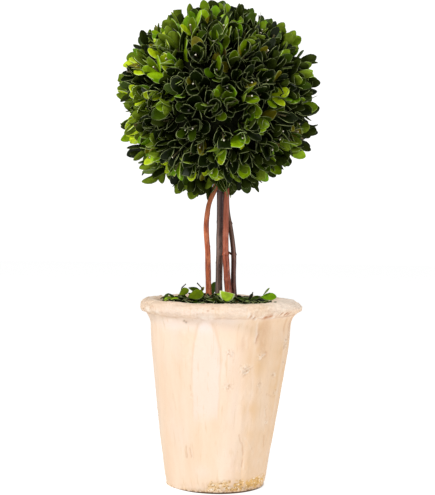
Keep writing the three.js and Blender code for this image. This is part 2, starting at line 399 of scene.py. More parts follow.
# Upright bands where the clay shows darker or lighter: angle, half width and how much
tanBands = [
    (25.0, 2.2, 0.1),
    (34.5, 3.5, 0.35),
    (29.3, 1.4, -0.6),
    (46.0, 4.5, -0.4),
    (62.0, 2.0, 0.5),
    (67.0, 2.0, -0.4),
]

# Patches of crumbs stuck to the wall: angle, height, half width and strength
crumbPatches = [
    (8.2, 142.5, 3.0, 1.8),
    (22.1, 125.1, 4.5, 2.2),
    (35.2, 137.5, 3.0, 1.4),
    (8.1, 108.4, 4.0, 1.2),
    (37.6, 109.1, 3.0, 1.4),
    (49.1, 83.7, 2.0, 1.2),
    (53.7, 68.9, 2.5, 1.3),
    (53.4, 117.8, 3.0, 1.2),
    (68.0, 147.0, 5.0, 2.2),
    (76.0, 156.0, 4.0, 1.8),
    (74.0, 167.0, 4.0, 1.5),
    (70.0, 128.0, 4.0, 1.1),
    (62.3, 99.4, 4.0, 1.1),
    (84.0, 140.0, 4.0, 0.8),
    (82.0, 112.0, 5.0, 0.7),
    (-24.0, 98.0, 2.5, 0.5),
]

# Reddish stains: angle, height, half width, half height and strength
stains = [
    (30.3, 157.0, 1.7, 5.0, 0.9),
    (20.6, 179.6, 0.8, 1.9, 1.0),
    (24.0, 177.6, 0.9, 1.9, 1.2),
    (33.0, 177.4, 3.2, 1.9, 1.3),
    (36.6, 179.3, 2.4, 1.6, 1.3),
    (42.6, 178.1, 1.6, 1.1, 0.8),
    (47.0, 180.0, 1.9, 1.3, 1.8),
    (53.0, 179.4, 1.8, 1.6, 1.8),
    (57.0, 178.6, 1.6, 1.6, 1.3),
    (36.0, 168.0, 7.0, 9.0, 0.35),
    (61.0, 167.0, 1.5, 9.0, 0.5),
    (-9.0, 184.3, 1.0, 0.8, 0.9),
    (-5.7, 186.3, 1.2, 0.8, 0.9),
    (-13.6, 175.6, 2.2, 0.7, 0.8),
    (40.3, 141.0, 1.5, 2.0, 0.8),
    (36.0, 148.0, 5.0, 12.0, 0.3),
    (18.5, 150.0, 3.0, 7.0, 0.25),
    (74.0, 168.0, 4.5, 8.0, 0.6),
    (-27.0, 173.0, 2.5, 1.0, 0.5),
    (-70.2, 182.1, 1.0, 1.2, 0.7),
    (-61.0, 186.4, 1.0, 0.9, 0.6),
    (-56.1, 185.8, 1.0, 0.9, 0.6),
    (-57.5, 184.0, 1.2, 0.9, 0.7),
    (-54.0, 184.9, 0.9, 1.2, 0.6),
    (-50.6, 182.4, 1.2, 0.9, 0.7),
    (-45.4, 180.9, 1.2, 0.8, 0.5),
    (-13.0, 189.3, 2.5, 1.0, 0.6),
    (128.0, 178.0, 5.0, 1.6, 0.8),
    (-120.0, 177.5, 5.0, 1.6, 0.8),
    (170.0, 178.0, 4.0, 1.6, 0.7),
]

# Small dark dents: angle, height, half width, half height and strength
dents = [
    (-28.9, 172.8, 1.0, 0.8, 1.0),
    (-27.5, 171.4, 1.0, 0.9, 1.0),
    (20.6, 179.0, 0.5, 1.3, 0.45),
    (24.0, 177.2, 0.6, 1.5, 0.6),
    (47.0, 180.0, 1.1, 0.8, 0.6),
    (53.2, 179.6, 1.0, 1.3, 0.65),
    (57.5, 178.6, 0.8, 1.2, 0.4),
    (-8.8, 184.4, 0.8, 0.6, 0.35),
]

# Chalky lumps on the rim's lower edge: angle, height, half width, half height and height of the lump
chalk = [
    (-12.4, 177.6, 4.0, 1.6, 1.0),
    (-7.0, 178.2, 3.0, 2.2, 0.8),
    (18.8, 180.4, 1.0, 2.4, 1.2),
    (22.3, 178.8, 1.0, 2.6, 1.3),
    (25.8, 176.6, 1.2, 1.8, 1.1),
    (29.5, 178.6, 2.6, 1.8, 0.8),
    (38.5, 180.9, 0.9, 0.9, 0.9),
    (40.5, 176.9, 3.0, 1.0, 0.9),
    (44.3, 180.6, 0.9, 0.9, 0.9),
    (50.0, 179.8, 1.0, 1.4, 0.7),
    (-50.0, 181.0, 4.0, 2.0, 0.7),
    (-62.0, 182.0, 5.0, 2.0, 0.9),
    (100.0, 180.0, 6.0, 2.0, 0.9),
    (160.0, 179.5, 7.0, 2.0, 0.8),
    (-140.0, 179.5, 6.0, 2.0, 0.8),
]

# Arched ends of the tongues, and the thin line round them
limewash = {
    "arch": 55,  # height of the arch on top of a tongue
    "ragged": 0.06,  # how far its edge strays, as a share of the half width
    "edge": (1.06, 0.92),  # shares of the half width where it starts and is full
    "line": 1.07,
    "lineHalf": 0.06,
    "footFade": (-10, 16),  # under and over the height of its foot
    "footRagged": 12,
}

# Short scratches and ridges besides the named creases
flecks = {
    "count": 30,
    "frontShare": 0.55,
    "frontAngles": (4, 84),
    "otherAngles": (84, 350),
    "heights": (14, 168),
    "lengths": (3, 17),
    "lean": 0.5,  # most radians from upright
    "hollowShare": 0.35,
    "reliefs": (0.06, 0.2),
    "widths": (0.6, 1.4),
    "wallRadius": 65,
}

# Rough patches at the foot, up to these heights
wornFoot = {
    "leftTop": 3,
    "frontTop": 12.5,
    "rightMore": 1.5,
    "backTop": 15,
    "frontHalf": 110,  # degrees to each side that count as the front
    "ragged": 2.4,
    "gap": (34.5, 2.2, 0.7),  # angle, half width and share of a gap in the patches
    "chips": (-0.9, -0.2),  # noise at which the clay starts to be worn, and is fully so
}


def potProfile():
    # radius and height along the outline, from the middle of the underside out, up, over the rim and down
    # inside: straight stretches, a quarter circle at the foot, Bezier hollows and an elliptical rim
    def straight(start, end, steps):
        # evenly spaced points from start up to just short of end
        share = np.linspace(0, 1, steps, endpoint=False)[:, None]
        return between(np.array(start, float), np.array(end, float), share)

    def curve(start, bend, end, steps):
        # the same along a Bezier curve with one bend
        share = np.linspace(0, 1, steps, endpoint=False)[:, None]
        first = between(np.array(start, float), np.array(bend, float), share)
        return between(first, between(np.array(bend, float), np.array(end, float), share), share)

    def arc(middle, radii, startAngle, endAngle, steps):
        # the same along an ellipse, by its angle in radians
        angle = np.linspace(startAngle, endAngle, steps, endpoint=False)
        x = middle[0] + radii[0] * np.cos(angle)
        return np.stack([x, middle[1] + radii[1] * np.sin(angle)], axis=1)

    footMiddle = (pot["footRadius"] - pot["footRound"], pot["footRound"])
    neck = (pot["neckRadius"], pot["neckHeight"])
    lipMiddle = (pot["lipRadius"] - pot["lipHalfWidth"], pot["height"] - pot["lipHalfHeight"])
    lipRadii = (pot["lipHalfWidth"], pot["lipHalfHeight"])
    lipStart = arc(lipMiddle, lipRadii, pot["lipStart"], pi / 2, 1)[0]
    mouth = (pot["mouthRadius"], pot["mouthHeight"])
    innerFoot = (pot["innerFootRadius"], pot["floor"])
    middle = (poleRadius, pot["floor"])
    pieces = [
        straight((poleRadius, 0), (footMiddle[0], 0), 4),
        arc(footMiddle, (pot["footRound"],) * 2, -pi / 2, 0, 7),
        straight((pot["footRadius"], pot["footRound"]), neck, 120),
        curve(neck, (neck[0] + pot["hollowOut"], neck[1] + pot["hollowUp"]), lipStart, 13),
        arc(lipMiddle, lipRadii, pot["lipStart"], pi / 2, 24),
        curve((lipMiddle[0], pot["height"]), (pot["mouthRadius"], pot["height"]), mouth, 12),
        straight(mouth, innerFoot, 8),
        straight(innerFoot, middle, 2),
    ]
    return np.concatenate(pieces + [np.array([middle])])


class ClayWall:
    # the outline carried round the pot: a row for each of its points and a column for each step round
    def __init__(self):
        profile = potProfile()
        along = np.gradient(profile, axis=0)
        self.radius, self.height = profile[:, :1], profile[:, 1:]
        self.rows = np.arange(len(profile))[:, None]
        self.turn = np.arange(pot["columns"])[None, :] / pot["columns"]
        self.angle = turnFrom(self.turn * 360, 0)  # degrees from the front, to the right
        self.outward = unit(np.stack([along[:, 1], -along[:, 0]], axis=1))
        self.outside = self.rows < np.argmax(profile[:, 1])

        # the wall ends and the rim begins at lipLine
        self.lipLine = pot["height"] - 2 * pot["lipHalfHeight"] - 1
        self.wall = window(self.height, 2, 6, self.lipLine - 5, self.lipLine + 1) * self.outside
        self.lip = softStep(self.lipLine - 3, self.lipLine + 3, self.height)
        self.lip = self.lip * (self.radius > pot["mouthRadius"] + 0.3)
        self.ragged = self.noise("ragged")

    def noise(self, name):
        # the sum of strength times grain over the named layers
        total = 0
        for along, size, cells, seed, strength in clayNoise[name]:
            up = 0 * self.height + size if along == "level" else getattr(self, along) / size
            total = total + strength * grain(self.turn, up, cells, seed)
        return total

    def stretch(self, name):
        # 1 in a named stretch round the pot, fading softly at both ends
        return window(self.angle, *stretches[name])

    def spots(self, places):
        # the sum of bell curves at places given as angle, height, half width, half height and strength
        total = 0
        for middle, level, wide, tall, strength in places:
            off = np.radians(turnFrom(self.angle, middle)) * self.radius
            total = total + strength * bell(off, wide) * bell(self.height - level, tall)
        return total


def potPoints(reach, height, turn):
    # x = reach * sin(turn) + lean * height and y = -reach * cos(turn), so turn 0 is at the front
    bearing = turn * 2 * pi
    x = reach * np.sin(bearing) + pot["lean"] * height
    return np.stack(np.broadcast_arrays(x, -reach * np.cos(bearing), height), axis=-1).reshape(-1, 3)


def washMask(clay):
    # 1 inside an arched tongue, 0 outside: half an ellipse on top of a band that fades out at its foot.
    # The second mask is a thin line round it, a bell curve of the distance from its edge
    mask = line = 0 * clay.ragged
    for tongue in tongues:
        shoulder = tongue["top"] - limewash["arch"]
        above = np.maximum(clay.height - shoulder, 0) / limewash["arch"]
        reach = np.hypot(turnFrom(clay.angle, tongue["angle"]) / tongue["half"], above)
        reach = reach + limewash["ragged"] * clay.ragged
        overFoot = clay.height - tongue["foot"] + limewash["footRagged"] * clay.ragged
        foot = softStep(*limewash["footFade"], overFoot)
        mask = np.maximum(mask, softStep(*limewash["edge"], reach) * foot)
        high = 0.4 + 0.6 * softStep(-20, 20, clay.height - shoulder)  # the line is fainter lower down
        line = np.maximum(line, bell(reach - limewash["line"], limewash["lineHalf"]) * foot * high)
    return mask, line


def underRim(clay):
    # drips that hang under the rim, the groove pressed in below it, and a thin line of painted shade along
    # its lower edge.
    # Groove and line are bell curves of the height above a wavering seam
    start = clay.lipLine
    drips = np.maximum(clay.noise("longDrips"), 0) + clay.noise("shortDrips")
    above = clay.height - (start + 0.8 + clay.noise("seamWithPaintedShade"))
    groove = bell(above + 1, 1.8) * clay.outside * (0.75 + 0.5 * drips)
    groove = groove * (1 - 0.5 * bell(clay.angle, 22))  # shallower at the front
    gaps = np.clip(0.55 + clay.noise("seamGaps") + 0.2 * softStep(15, 60, clay.angle), 0, 1)
    # the line is painted shade along the rim's lower edge, with gaps
    line = bell(above, 0.75) * clay.outside * gaps
    return drips * window(clay.height, start - 4, start, start + 1, start + 5) * clay.outside, groove, line


def footPatches(clay):
    # where the foot is rough, where it is worn through, and its dark edge: soft steps of the height over a
    # wavering line, in three stretches round the pot
    noise = clay.noise("foot")
    top = between(wornFoot["leftTop"], wornFoot["frontTop"], softStep(-14, -4, clay.angle))
    top = top + wornFoot["rightMore"] * softStep(42, 62, clay.angle)
    top = np.where(np.abs(clay.angle) < wornFoot["frontHalf"], top, wornFoot["backTop"])
    rough = softStep(1, -2, clay.height - top + wornFoot["ragged"] * noise)
    rough = rough * softStep(0.3, 2, clay.height) * clay.outside
    gapAngle, gapHalf, gapShare = wornFoot["gap"]
    patches = clay.stretch("wornFront") * (1 - gapShare * bell(clay.angle - gapAngle, gapHalf))
    patches = patches + softStep(150, 158, clay.angle) + clay.stretch("wornLeft")
    patches = patches + 0.5 * softStep(4, 1.5, clay.height + 2 * noise)
    worn = softStep(*wornFoot["chips"], noise) * rough * np.clip(patches, 0, 1)
    edge = window(clay.height, -0.1, 0.2, 0.9 - 0.7 * noise, 1.9 - 0.7 * noise) * clay.outside
    return rough, worn, edge


def alongLine(angle, height, radius, line):
    # bell curve of the distance from a straight line on the wall, times how far the line stands out
    startAngle, startHeight, endAngle, endHeight, width, out = line
    toMm = np.radians(1) * radius
    x, z = (angle - startAngle) * toMm, height - startHeight
    dx, dz = (endAngle - startAngle) * toMm, endHeight - startHeight
    share = np.clip((x * dx + z * dz) / (dx * dx + dz * dz), 0, 1)
    return out * bell(np.hypot(x - share * dx, z - share * dz), width)


def fleckLines():
    # seeded short lines round the wall, most of them upright, denser on the right of the front
    item = np.arange(flecks["count"])
    front = between(*flecks["frontAngles"], chance(item, 602))
    other = between(*flecks["otherAngles"], chance(item, 603))
    angle = np.where(chance(item, 601) < flecks["frontShare"], front, other)
    height = between(*flecks["heights"], chance(item, 604))
    long = between(*flecks["lengths"], chance(item, 605) ** 2)
    lean = flecks["lean"] * chance(item, 606) ** 2 * np.sign(chance(item, 607) - 0.5)
    sideways = np.degrees(long * np.sin(lean) / flecks["wallRadius"])
    endAngle = turnFrom(angle + sideways, 0)
    out = between(*flecks["reliefs"], chance(item, 608)) * np.sign(chance(item, 609) - flecks["hollowShare"])
    width = between(*flecks["widths"], chance(item, 610))
    endHeight = height - long * np.cos(lean)
    return np.stack([endAngle - sideways, height, endAngle, endHeight, width, out], axis=1)


def scratches(clay):
    # ridges along the named creases and the flecks, each with a shallower hollow beside it
    up = clay.height + pot["waver"] * clay.noise("waverUp")
    around = clay.angle + np.degrees(pot["waver"] / clay.radius) * clay.noise("waverRound")
    total = 0 * clay.ragged
    for line in [*creases, *fleckLines()]:
        ridge = alongLine(around, up, clay.radius, line)
        hollow = alongLine(around - 1.1, up + 1.0, clay.radius, line)
        total = total + ridge - 0.6 * hollow
    return total * clay.outside * softStep(clay.lipLine, clay.lipLine - 6, clay.height)


def wallRelief(clay, limewashAndPaintedLight):
    # the sum of the wall's belly, its unroundness, trowel strokes and limewash
    strokes = clay.noise("strokes") * (1 + 0.6 * clay.stretch("deepStrokes"))
    belly = window(clay.height, 25, 60, 138, 166) * clay.outside
    relief = pot["wobble"] * clay.noise("wobble") + pot["belly"] * belly + pot["limewashAndPaintedLight"] * limewashAndPaintedLight
    relief = relief + pot["strokes"] * strokes * clay.wall * (1 - 0.5 * limewashAndPaintedLight)
    return relief + clay.noise("fine") * clay.wall * between(*pot["fine"], clay.stretch("fineStrokes"))


def rimRelief(clay, crusty):
    # the rim's lumps, its scabs and the slope of its right end
    scabs = np.maximum(clay.noise("scabs"), -0.3) + 0.6 * np.maximum(clay.noise("fineScabs"), -0.2)
    scabs = scabs * crusty * softStep(pot["height"] - 0.2, pot["height"] - 3, clay.height)
    slope = clay.stretch("slopedRim") * softStep(183, 187, clay.height) * softStep(67, 77, clay.radius)
    return clay.lip * (pot["lumps"] * clay.noise("lumps") + pot["scabs"] * scabs - pot["rimSlope"] * slope)


def makePot():
    # the outline moved along its normal by the sum of all the relief, its foot drawn in, then turned round
    clay = ClayWall()
    drips, groove, seamWithPaintedShade = underRim(clay)
    rough, worn, footEdge = footPatches(clay)
    limewashAndPaintedLight, washLine = washMask(clay)
    limewashAndPaintedLight = limewashAndPaintedLight * clay.wall + clay.spots(palePatches) * clay.outside
    sandyEnd = clay.lip * softStep(-52, -66, clay.angle)
    crusty = 0.3 + 0.7 * softStep(-48, -62, clay.angle) + 0.7 * clay.stretch("crustyRim")
    lumps = clay.spots(chalk) * clay.outside
    pits = clay.spots(dents) * clay.outside
    patches = clay.spots([(angle, height, half, half, s) for angle, height, half, s in crumbPatches])
    strewn = softStep(0.35, 0.8, clay.noise("strewn")) * 0.4 + 0.06
    crumbs = np.maximum(clay.noise("crumbs"), 0) * (patches + strewn) * clay.wall
    ridges = scratches(clay)
    sand = clay.noise("sand")

    relief = wallRelief(clay, limewashAndPaintedLight) + rimRelief(clay, crusty)
    relief = relief + pot["sand"] * sand * (0.2 + clay.lip * 1.3 + sandyEnd * 1.8 + rough * 2)
    relief = relief + pot["drips"] * drips - pot["undercut"] * groove
    relief = relief - pot["worn"] * worn * (0.6 + 0.4 * sand) - pot["pits"] * pits
    relief = relief + ridges + pot["crumbs"] * crumbs + lumps
    relief = relief * softStep(0, 1.5, clay.height)  # the underside stays flat
    relief = relief * between(pot["insideShare"], 1, clay.outside * 1.0)

    tuck = pot["footTuck"] * softStep(pot["tuckHeight"], 1, clay.height) * clay.outside
    reach = (clay.radius + relief * clay.outward[:, :1]) * (1 - tuck / pot["footRadius"])
    points = potPoints(reach, np.maximum(clay.height + relief * clay.outward[:, 1:], 0), clay.turn)

    # lighter on the ridges, crumbs and lumps: partly limewash caught on them, partly painted highlight
    ridgeWashAndHighlight = ridges + crumbs * 0.5 + 0.5 * lumps
    lipFront = clay.lip * softStep(pot["height"] - 0.5, pot["height"] - 4, clay.height)
    crest = window(clay.radius, 71.5, 73, 73.5, 76) * softStep(189, 190, clay.height)
    # paler on the rim's right end, where its top gets less of the key light: painted light
    paintedLight = clay.lip * softStep(181, 186, clay.height) * clay.stretch("paintedLightRim")
    marks = {
        # limewash, with painted light under the front of the rim
        "limewashAndPaintedLight": limewashAndPaintedLight,
        "washLine": washLine * clay.wall,
        "worn": worn,
        "footEdge": footEdge,
        "rust": clay.spots(stains) * clay.outside,
        "tanAndPaintedShade": tanAndShadeMark(clay),
        "pit": pits,
        "crust": lipFront * crusty * 0.8,
        "crumb": np.clip(patches, 0, 1) * clay.wall + lipFront * np.clip(crusty - 0.5, 0, 1) * 0.6,
        "rim": clay.lip * (0.6 + 0.4 * sandyEnd) + 0.5 * rough,
        "crest": crest * (0.8 + 0.4 * clay.ragged),  # the line of light along the rim's top
        "paintedLight": paintedLight,
        "seamWithPaintedShade": seamWithPaintedShade,
        "golden": clay.stretch("goldenFoot"),
        "ridgeWashAndHighlight": np.clip(ridgeWashAndHighlight * 1.5, 0, 1),
        "chalk": np.clip(lumps, 0, 1),
        # darker in the hollows beside the ridges, on their side away from the key light: painted shadow
        "groove": np.clip(-ridgeWashAndHighlight * 3, 0, 1),
    }

    # both ends of the outline are closed by a fan round a point on the axis
    rows, columns = len(clay.rows), pot["columns"]
    ring = np.arange(columns)
    after = (ring + 1) % columns
    last = (rows - 1) * columns
    poles = np.array([[0, 0, 0], [pot["lean"] * pot["floor"], 0, pot["floor"]]])
    below = np.stack([np.full(columns, len(points)), after, ring], axis=1)
    floor = np.stack([np.full(columns, len(points) + 1), last + ring, last + after], axis=1)
    whole = (rows, columns)
    marks = {name: np.append(np.broadcast_to(values, whole), [0, 0]) for name, values in marks.items()}
    faces = [gridFaces(rows, columns), below, floor]
    return putMesh("clay_pot", np.concatenate([points, poles]), faces, [clayLook()], marks=marks)


def tanAndShadeMark(clay):
    # how tan and darkened the right side is, partly the clay's own tan and partly painted shade on the side
    # turned from the key light, with an upright bell curve for each darker or lighter band
    tanAndPaintedShade = softStep(17, 34, clay.angle + 4 * clay.ragged) * softStep(150, 104, clay.angle)
    belowRim = softStep(clay.lipLine + 2, clay.lipLine - 3, clay.height)
    tanAndPaintedShade = tanAndPaintedShade * belowRim
    for middle, half, more in tanBands:
        band = bell(clay.angle + 1.5 * clay.ragged - middle, half)
        tanAndPaintedShade = tanAndPaintedShade + more * band * softStep(40, 90, clay.height)
    return np.clip(tanAndPaintedShade, 0, 1.3) * belowRim * (0.7 + 0.4 * clay.ragged)


def ochreClay(look):
    # the bare clay of the worn foot: golden, deeper on the right, with pale chips and dark specks
    golden = look.mix(look.mark("golden"), (0.78, 0.55, 0.30), (0.68, 0.41, 0.13))
    chips = look.ramp(look.noise(450, 3, 0.65), (0.38, 0), (0.47, 1))
    specks = look.ramp(look.noise(520, 3, 0.65), (0.54, 0), (0.61, 1))
    return look.mix(specks, look.mix(chips, (0.93, 0.82, 0.66), golden), (0.38, 0.20, 0.065))


def clayLook():
    # thin coats of colour, each laid over the last by a mark of the mesh, by noise or by both
    look = Look("limewashedClay", Roughness=0.85, Specular_IOR_Level=0.25)
    specks, crust, crumb = look.noise(900, 2, 0.6), look.noise(260, 4, 0.6), look.noise(430, 3, 0.65)
    streaks = look.ramp(look.noise(70, 4, 0.6, (1, 1, 0.13)), (0.28, 0), (0.72, 1))
    patches = look.ramp(look.noise(26, 3, 0.5, (1, 1, 0.45)), (0.46, 0), (0.74, 0.6))
    sandy = look.ramp(look.noise(520, 4, 0.7), (0.42, 1), (0.56, 0))
    drags = look.ramp(look.noise(330, 2, 0.5, (1, 1, 0.05)), (0.60, 0), (0.72, 0.5))
    rusty = look.ramp(look.noise(330, 3, 0.6), (0.32, 0.45), (0.58, 1))
    ticks = look.ramp(look.noise(330, 2, 0.6, (1, 1, 0.5)), (0.44, 0), (0.58, 1))
    coats = [
        (streaks, (0.80, 0.64, 0.49)),
        (patches, (0.81, 0.67, 0.57)),
        # the clay's own tan on the right side, with painted shade there
        (look.mark("tanAndPaintedShade") * 0.8, (0.72, 0.49, 0.29)),
        # limewash, and painted light under the front of the rim
        (look.mark("limewashAndPaintedLight") * 0.48, (0.80, 0.68, 0.615)),
        (look.mark("rim") * sandy * 0.5, (0.68, 0.49, 0.33)),
        (look.mark("washLine") * 0.38, (0.66, 0.47, 0.33)),
        (drags, (0.68, 0.49, 0.31)),
        (look.mark("crust") * look.ramp(crust, (0.36, 1), (0.44, 0)) * 0.35, (0.62, 0.40, 0.24)),
        (look.mark("crust") * look.ramp(crust, (0.52, 0), (0.60, 1)) * 0.45, (0.87, 0.73, 0.56)),
        (look.mark("crest") * 0.7, (0.92, 0.85, 0.76)),
        # painted light on the rim's right end
        (look.mark("paintedLight") * 0.65, (0.97, 0.84, 0.72)),
        # by the same noise as the crumbs' relief: darker in their hollows, painted shade; lighter on their
        # tops, partly pale crumbs and partly painted light
        (look.mark("crumb") * look.ramp(crumb, (0.40, 1), (0.47, 0)) * 0.6, (0.52, 0.31, 0.18)),
        (look.mark("crumb") * look.ramp(crumb, (0.55, 0), (0.61, 1)) * 0.7, (0.87, 0.78, 0.67)),
        # painted shade along the rim's lower edge
        (look.mark("seamWithPaintedShade") * 0.7, (0.50, 0.31, 0.19)),
        (look.mark("rust") * rusty * 0.9, (0.50, 0.25, 0.14)),
        # painted shadow beside the ridges
        (look.mark("groove") * 0.45, (0.58, 0.36, 0.22)),
        # lighter on the ridges: limewash and painted highlight
        (look.mark("ridgeWashAndHighlight") * 0.5, (0.84, 0.74, 0.64)),
        (look.mark("chalk") * 0.55, (0.90, 0.81, 0.71)),
        (look.mark("worn") * 0.95, ochreClay(look)),
        (look.mark("footEdge") * ticks * 0.9, (0.40, 0.24, 0.13)),
        (look.mark("pit") * 0.8, (0.28, 0.2, 0.14)),
        (look.ramp(specks, (0.62, 0), (0.74, 0.35)), (0.62, 0.46, 0.32)),
    ]
    body = (0.785, 0.565, 0.40)
    for share, colour in coats:
        body = look.mix(share, body, colour)
    coarse = look.bump(look.noise(260, 4, 0.6, (1, 1, 0.4)), 0.45, 0.0006)
    sandGrains = look.bump(look.noise(900, 3, 0.7), look.mark("rim") * 0.5 + 0.2, 0.0006, coarse)
    crusts = look.bump(crust, look.mark("crust") * 0.7, 0.002, sandGrains)
    crumbs = look.bump(crumb, look.mark("crumb") * 0.9, 0.0015, crusts)
    return look.paint(Base_Color=body, Roughness=0.78 + specks * 0.18, Normal=crumbs)


stands(makePot(), "pot")
print("pot done")


# Dry filling under the leaves

filling = {
    "levelRadius": 27,
    "levelHeight": 186.5,
    "edgeHeight": 180,
    "wallGap": 0.6,
    "floorGap": 0.3,
    "rings": 70,
    "columns": 160,
}


def innerRadius(height):
    # the pot's inner wall is straight from its floor to the mouth
    share = (height - pot["floor"]) / (pot["mouthHeight"] - pot["floor"])
    return between(pot["innerFootRadius"], pot["mouthRadius"], share)


def fillingTop(radius):
    # level round the stems, then straight down to the wall
    slope = innerRadius(filling["edgeHeight"]) - filling["levelRadius"]
    share = np.maximum(0, radius - filling["levelRadius"]) / slope
    return between(filling["levelHeight"], filling["edgeHeight"], share)


def makeFilling():
    # the top's height plus noise, ring by ring out to the wall, then down to a flat underside
    edge = innerRadius(filling["edgeHeight"]) - filling["wallGap"]
    base = innerRadius(pot["floor"]) - filling["wallGap"]
    radius = np.linspace(poleRadius, edge, filling["rings"])[:, None]
    turn = np.arange(filling["columns"])[None, :] / filling["columns"]
    rough = 0.8 * grain(turn, radius / 3, 60, 21) + 0.5 * grain(turn, radius / 1.4, 120, 22)
    top = fillingTop(radius) + rough * softStep(1, 8, radius)
    under = np.full((2, filling["columns"]), pot["floor"] + filling["floorGap"])
    reach = np.concatenate([radius, [[base], [base * 0.02]]])
    height = np.concatenate([top, under])
    points = potPoints(reach, height, turn)
    faces = gridFaces(len(height), filling["columns"])[:, ::-1]
    ring = np.arange(filling["columns"])
    look = Look("dryFilling", Roughness=0.95)
    mottle = look.noise(300, 4, 0.6)
    earth = look.mix(look.ramp(mottle, (0.35, 0), (0.7, 1)), (0.012, 0.009, 0.006), (0.06, 0.045, 0.028))
    look.paint(Base_Color=earth, Normal=look.bump(mottle, 0.6, 0.001))
    return putMesh("dry_filling", points, [faces, np.array([ring, len(points) - 1 - ring])], [look])


stands(makeFilling(), "soil_fill")
print("filling done")


# Bare stems: axis points are x, y and height above the filling

ground = filling["levelHeight"] + 0.3
stems = [
    {
        "name": "stem_left",
        "slot": "red_bark",
        "axis": [
            (-8.3, -3, 0), (-10.1, -3, 50), (-11.5, -3, 88),
            (-8.1, -3, 105), (-4.2, -4, 114), (0, -6, 142),
        ],
        "footRadius": 2.9,
        "topRadius": 2.6,
        "ridge": 0.07,
        "nodes": [(58, 0.25), (91, 0.3)],  # height, and how far the bark stands out there
        "paintedSheen": (225, 0.35),  # painted highlight streak: degrees round from the right by way of the back, and strength
        "bark": "redBark",
        "tones": [(0.17, 0.026, 0.007), (0.44, 0.098, 0.027), (0.54, 0.17, 0.07)],  # dark, middle and light
        "upperTint": (0.285, (0.28, 0.09, 0.02)),  # metres above the floor where it sets in, and its colour
    },
    {
        "name": "stem_middle",
        "slot": "grey_bark",
        "axis": [(1.7, 5, 0), (2.1, 5, 60), (2.1, 5, 110), (2, 5, 146)],
        "footRadius": 3.6,
        "topRadius": 3.6,
        "ridge": 0.12,
        "nodes": [(41, 0.3), (83, 0.25)],
        "paintedSheen": (238, 0.9),
        "bark": "greyBark",
        "tones": [(0.030, 0.010, 0.007), (0.11, 0.058, 0.036), (0.20, 0.125, 0.10)],
        "upperTint": (0.27, (0.10, 0.058, 0.058)),
    },
    {
        "name": "stem_right",
        "slot": "red_bark",
        "axis": [
            (13.2, -6, 0), (10.0, -6, 27), (8.5, -5, 50),
            (8.2, -4, 70), (8.3, -4, 98), (9.3, -4, 140),
        ],
        "footRadius": 3.8,
        "topRadius": 2.4,
        "ridge": 0.1,
        "nodes": [(50, 0.75), (24, 0.25)],
        "paintedSheen": (235, 0.3),
        "bark": "mottledRedBark",
        "tones": [(0.12, 0.018, 0.007), (0.34, 0.068, 0.024), (0.50, 0.17, 0.10)],
        "upperTint": (0.25, (0.33, 0.08, 0.036)),
    },
    {
        "name": "stem_bowed",
        "slot": "grey_bark",
        "axis": [
            (17.6, 2, 0), (16.6, 2, 27), (16.6, 2, 49), (14.9, 3, 66),
            (12, 5, 82), (9.6, 6, 96), (12, 7, 140),
        ],
        "footRadius": 2.8,
        "topRadius": 2.3,
        "ridge": 0.14,
        "nodes": [(50, 0.6), (82, 0.7)],
        "paintedSheen": (290, 0.5),
        "bark": "darkBark",
        "tones": [(0.022, 0.006, 0.004), (0.12, 0.030, 0.018), (0.20, 0.075, 0.045)],
        "upperTint": (0.237, (0.10, 0.055, 0.032)),
    },
]
bark = {
    "sides": 28,
    "rings": 230,
    "flare": 0.9,  # how much thicker the stems are where they leave the filling
    "flareHeight": 8,
    "swell": 0.12,  # change of thickness along a stem
    "waver": 0.12,  # and of its course
    "nodeHalf": 1.1,
    "paintedSheenHalf": 17,
    "tintFade": 0.03,  # metres over which the upper tint sets in
}
stub = {
    "axisPoint": 2,
    "length": 7.6,
    "radius": 1.1,
    "rise": 0.5,  # radians above level
    "backward": 0.1,
    "sides": 12,
    "stations": [0, 0.35, 0.6, 0.9, 0.97, 1.0],  # shares of the length
    "girths": [1.7, 1.15, 1.0, 0.95, 0.95, 0.8],  # shares of the radius there
}


def smoothThrough(points, count):
    # a curve through the points: cubic pieces by height, their slopes taken across each point's neighbours
    points = np.array(points, float)
    slopes = np.gradient(points[:, :2], points[:, 2], axis=0)
    height = np.linspace(points[0, 2], points[-1, 2], count)
    piece = np.clip(np.searchsorted(points[:, 2], height, side="right") - 1, 0, len(points) - 2)
    span = (points[piece + 1, 2] - points[piece, 2])[:, None]
    share = (height - points[piece, 2])[:, None] / span
    start, end = points[piece, :2], points[piece + 1, :2]
    leave, arrive = slopes[piece] * span, slopes[piece + 1] * span
    level = (
        start * (2 * share**3 - 3 * share**2 + 1)
        + leave * (share**3 - 2 * share**2 + share)
        + end * (3 * share**2 - 2 * share**3)
        + arrive * (share**3 - share**2)
    )
    return np.column_stack([level, height + ground])


def tube(path, radius, sides):
    # level rings of the given radii round a rising path, with a flat cap on both ends
    turn = np.arange(sides)[None, :] / sides * 2 * pi
    x = path[:, None, 0] + radius * np.cos(turn)
    y = path[:, None, 1] + radius * np.sin(turn)
    z = np.broadcast_to(path[:, None, 2], x.shape)
    points = np.stack([x, y, z], axis=-1).reshape(-1, 3)
    ring = np.arange(sides)
    caps = np.array([ring[::-1], len(points) - sides + ring])
    return points, [gridFaces(len(path), sides), caps]


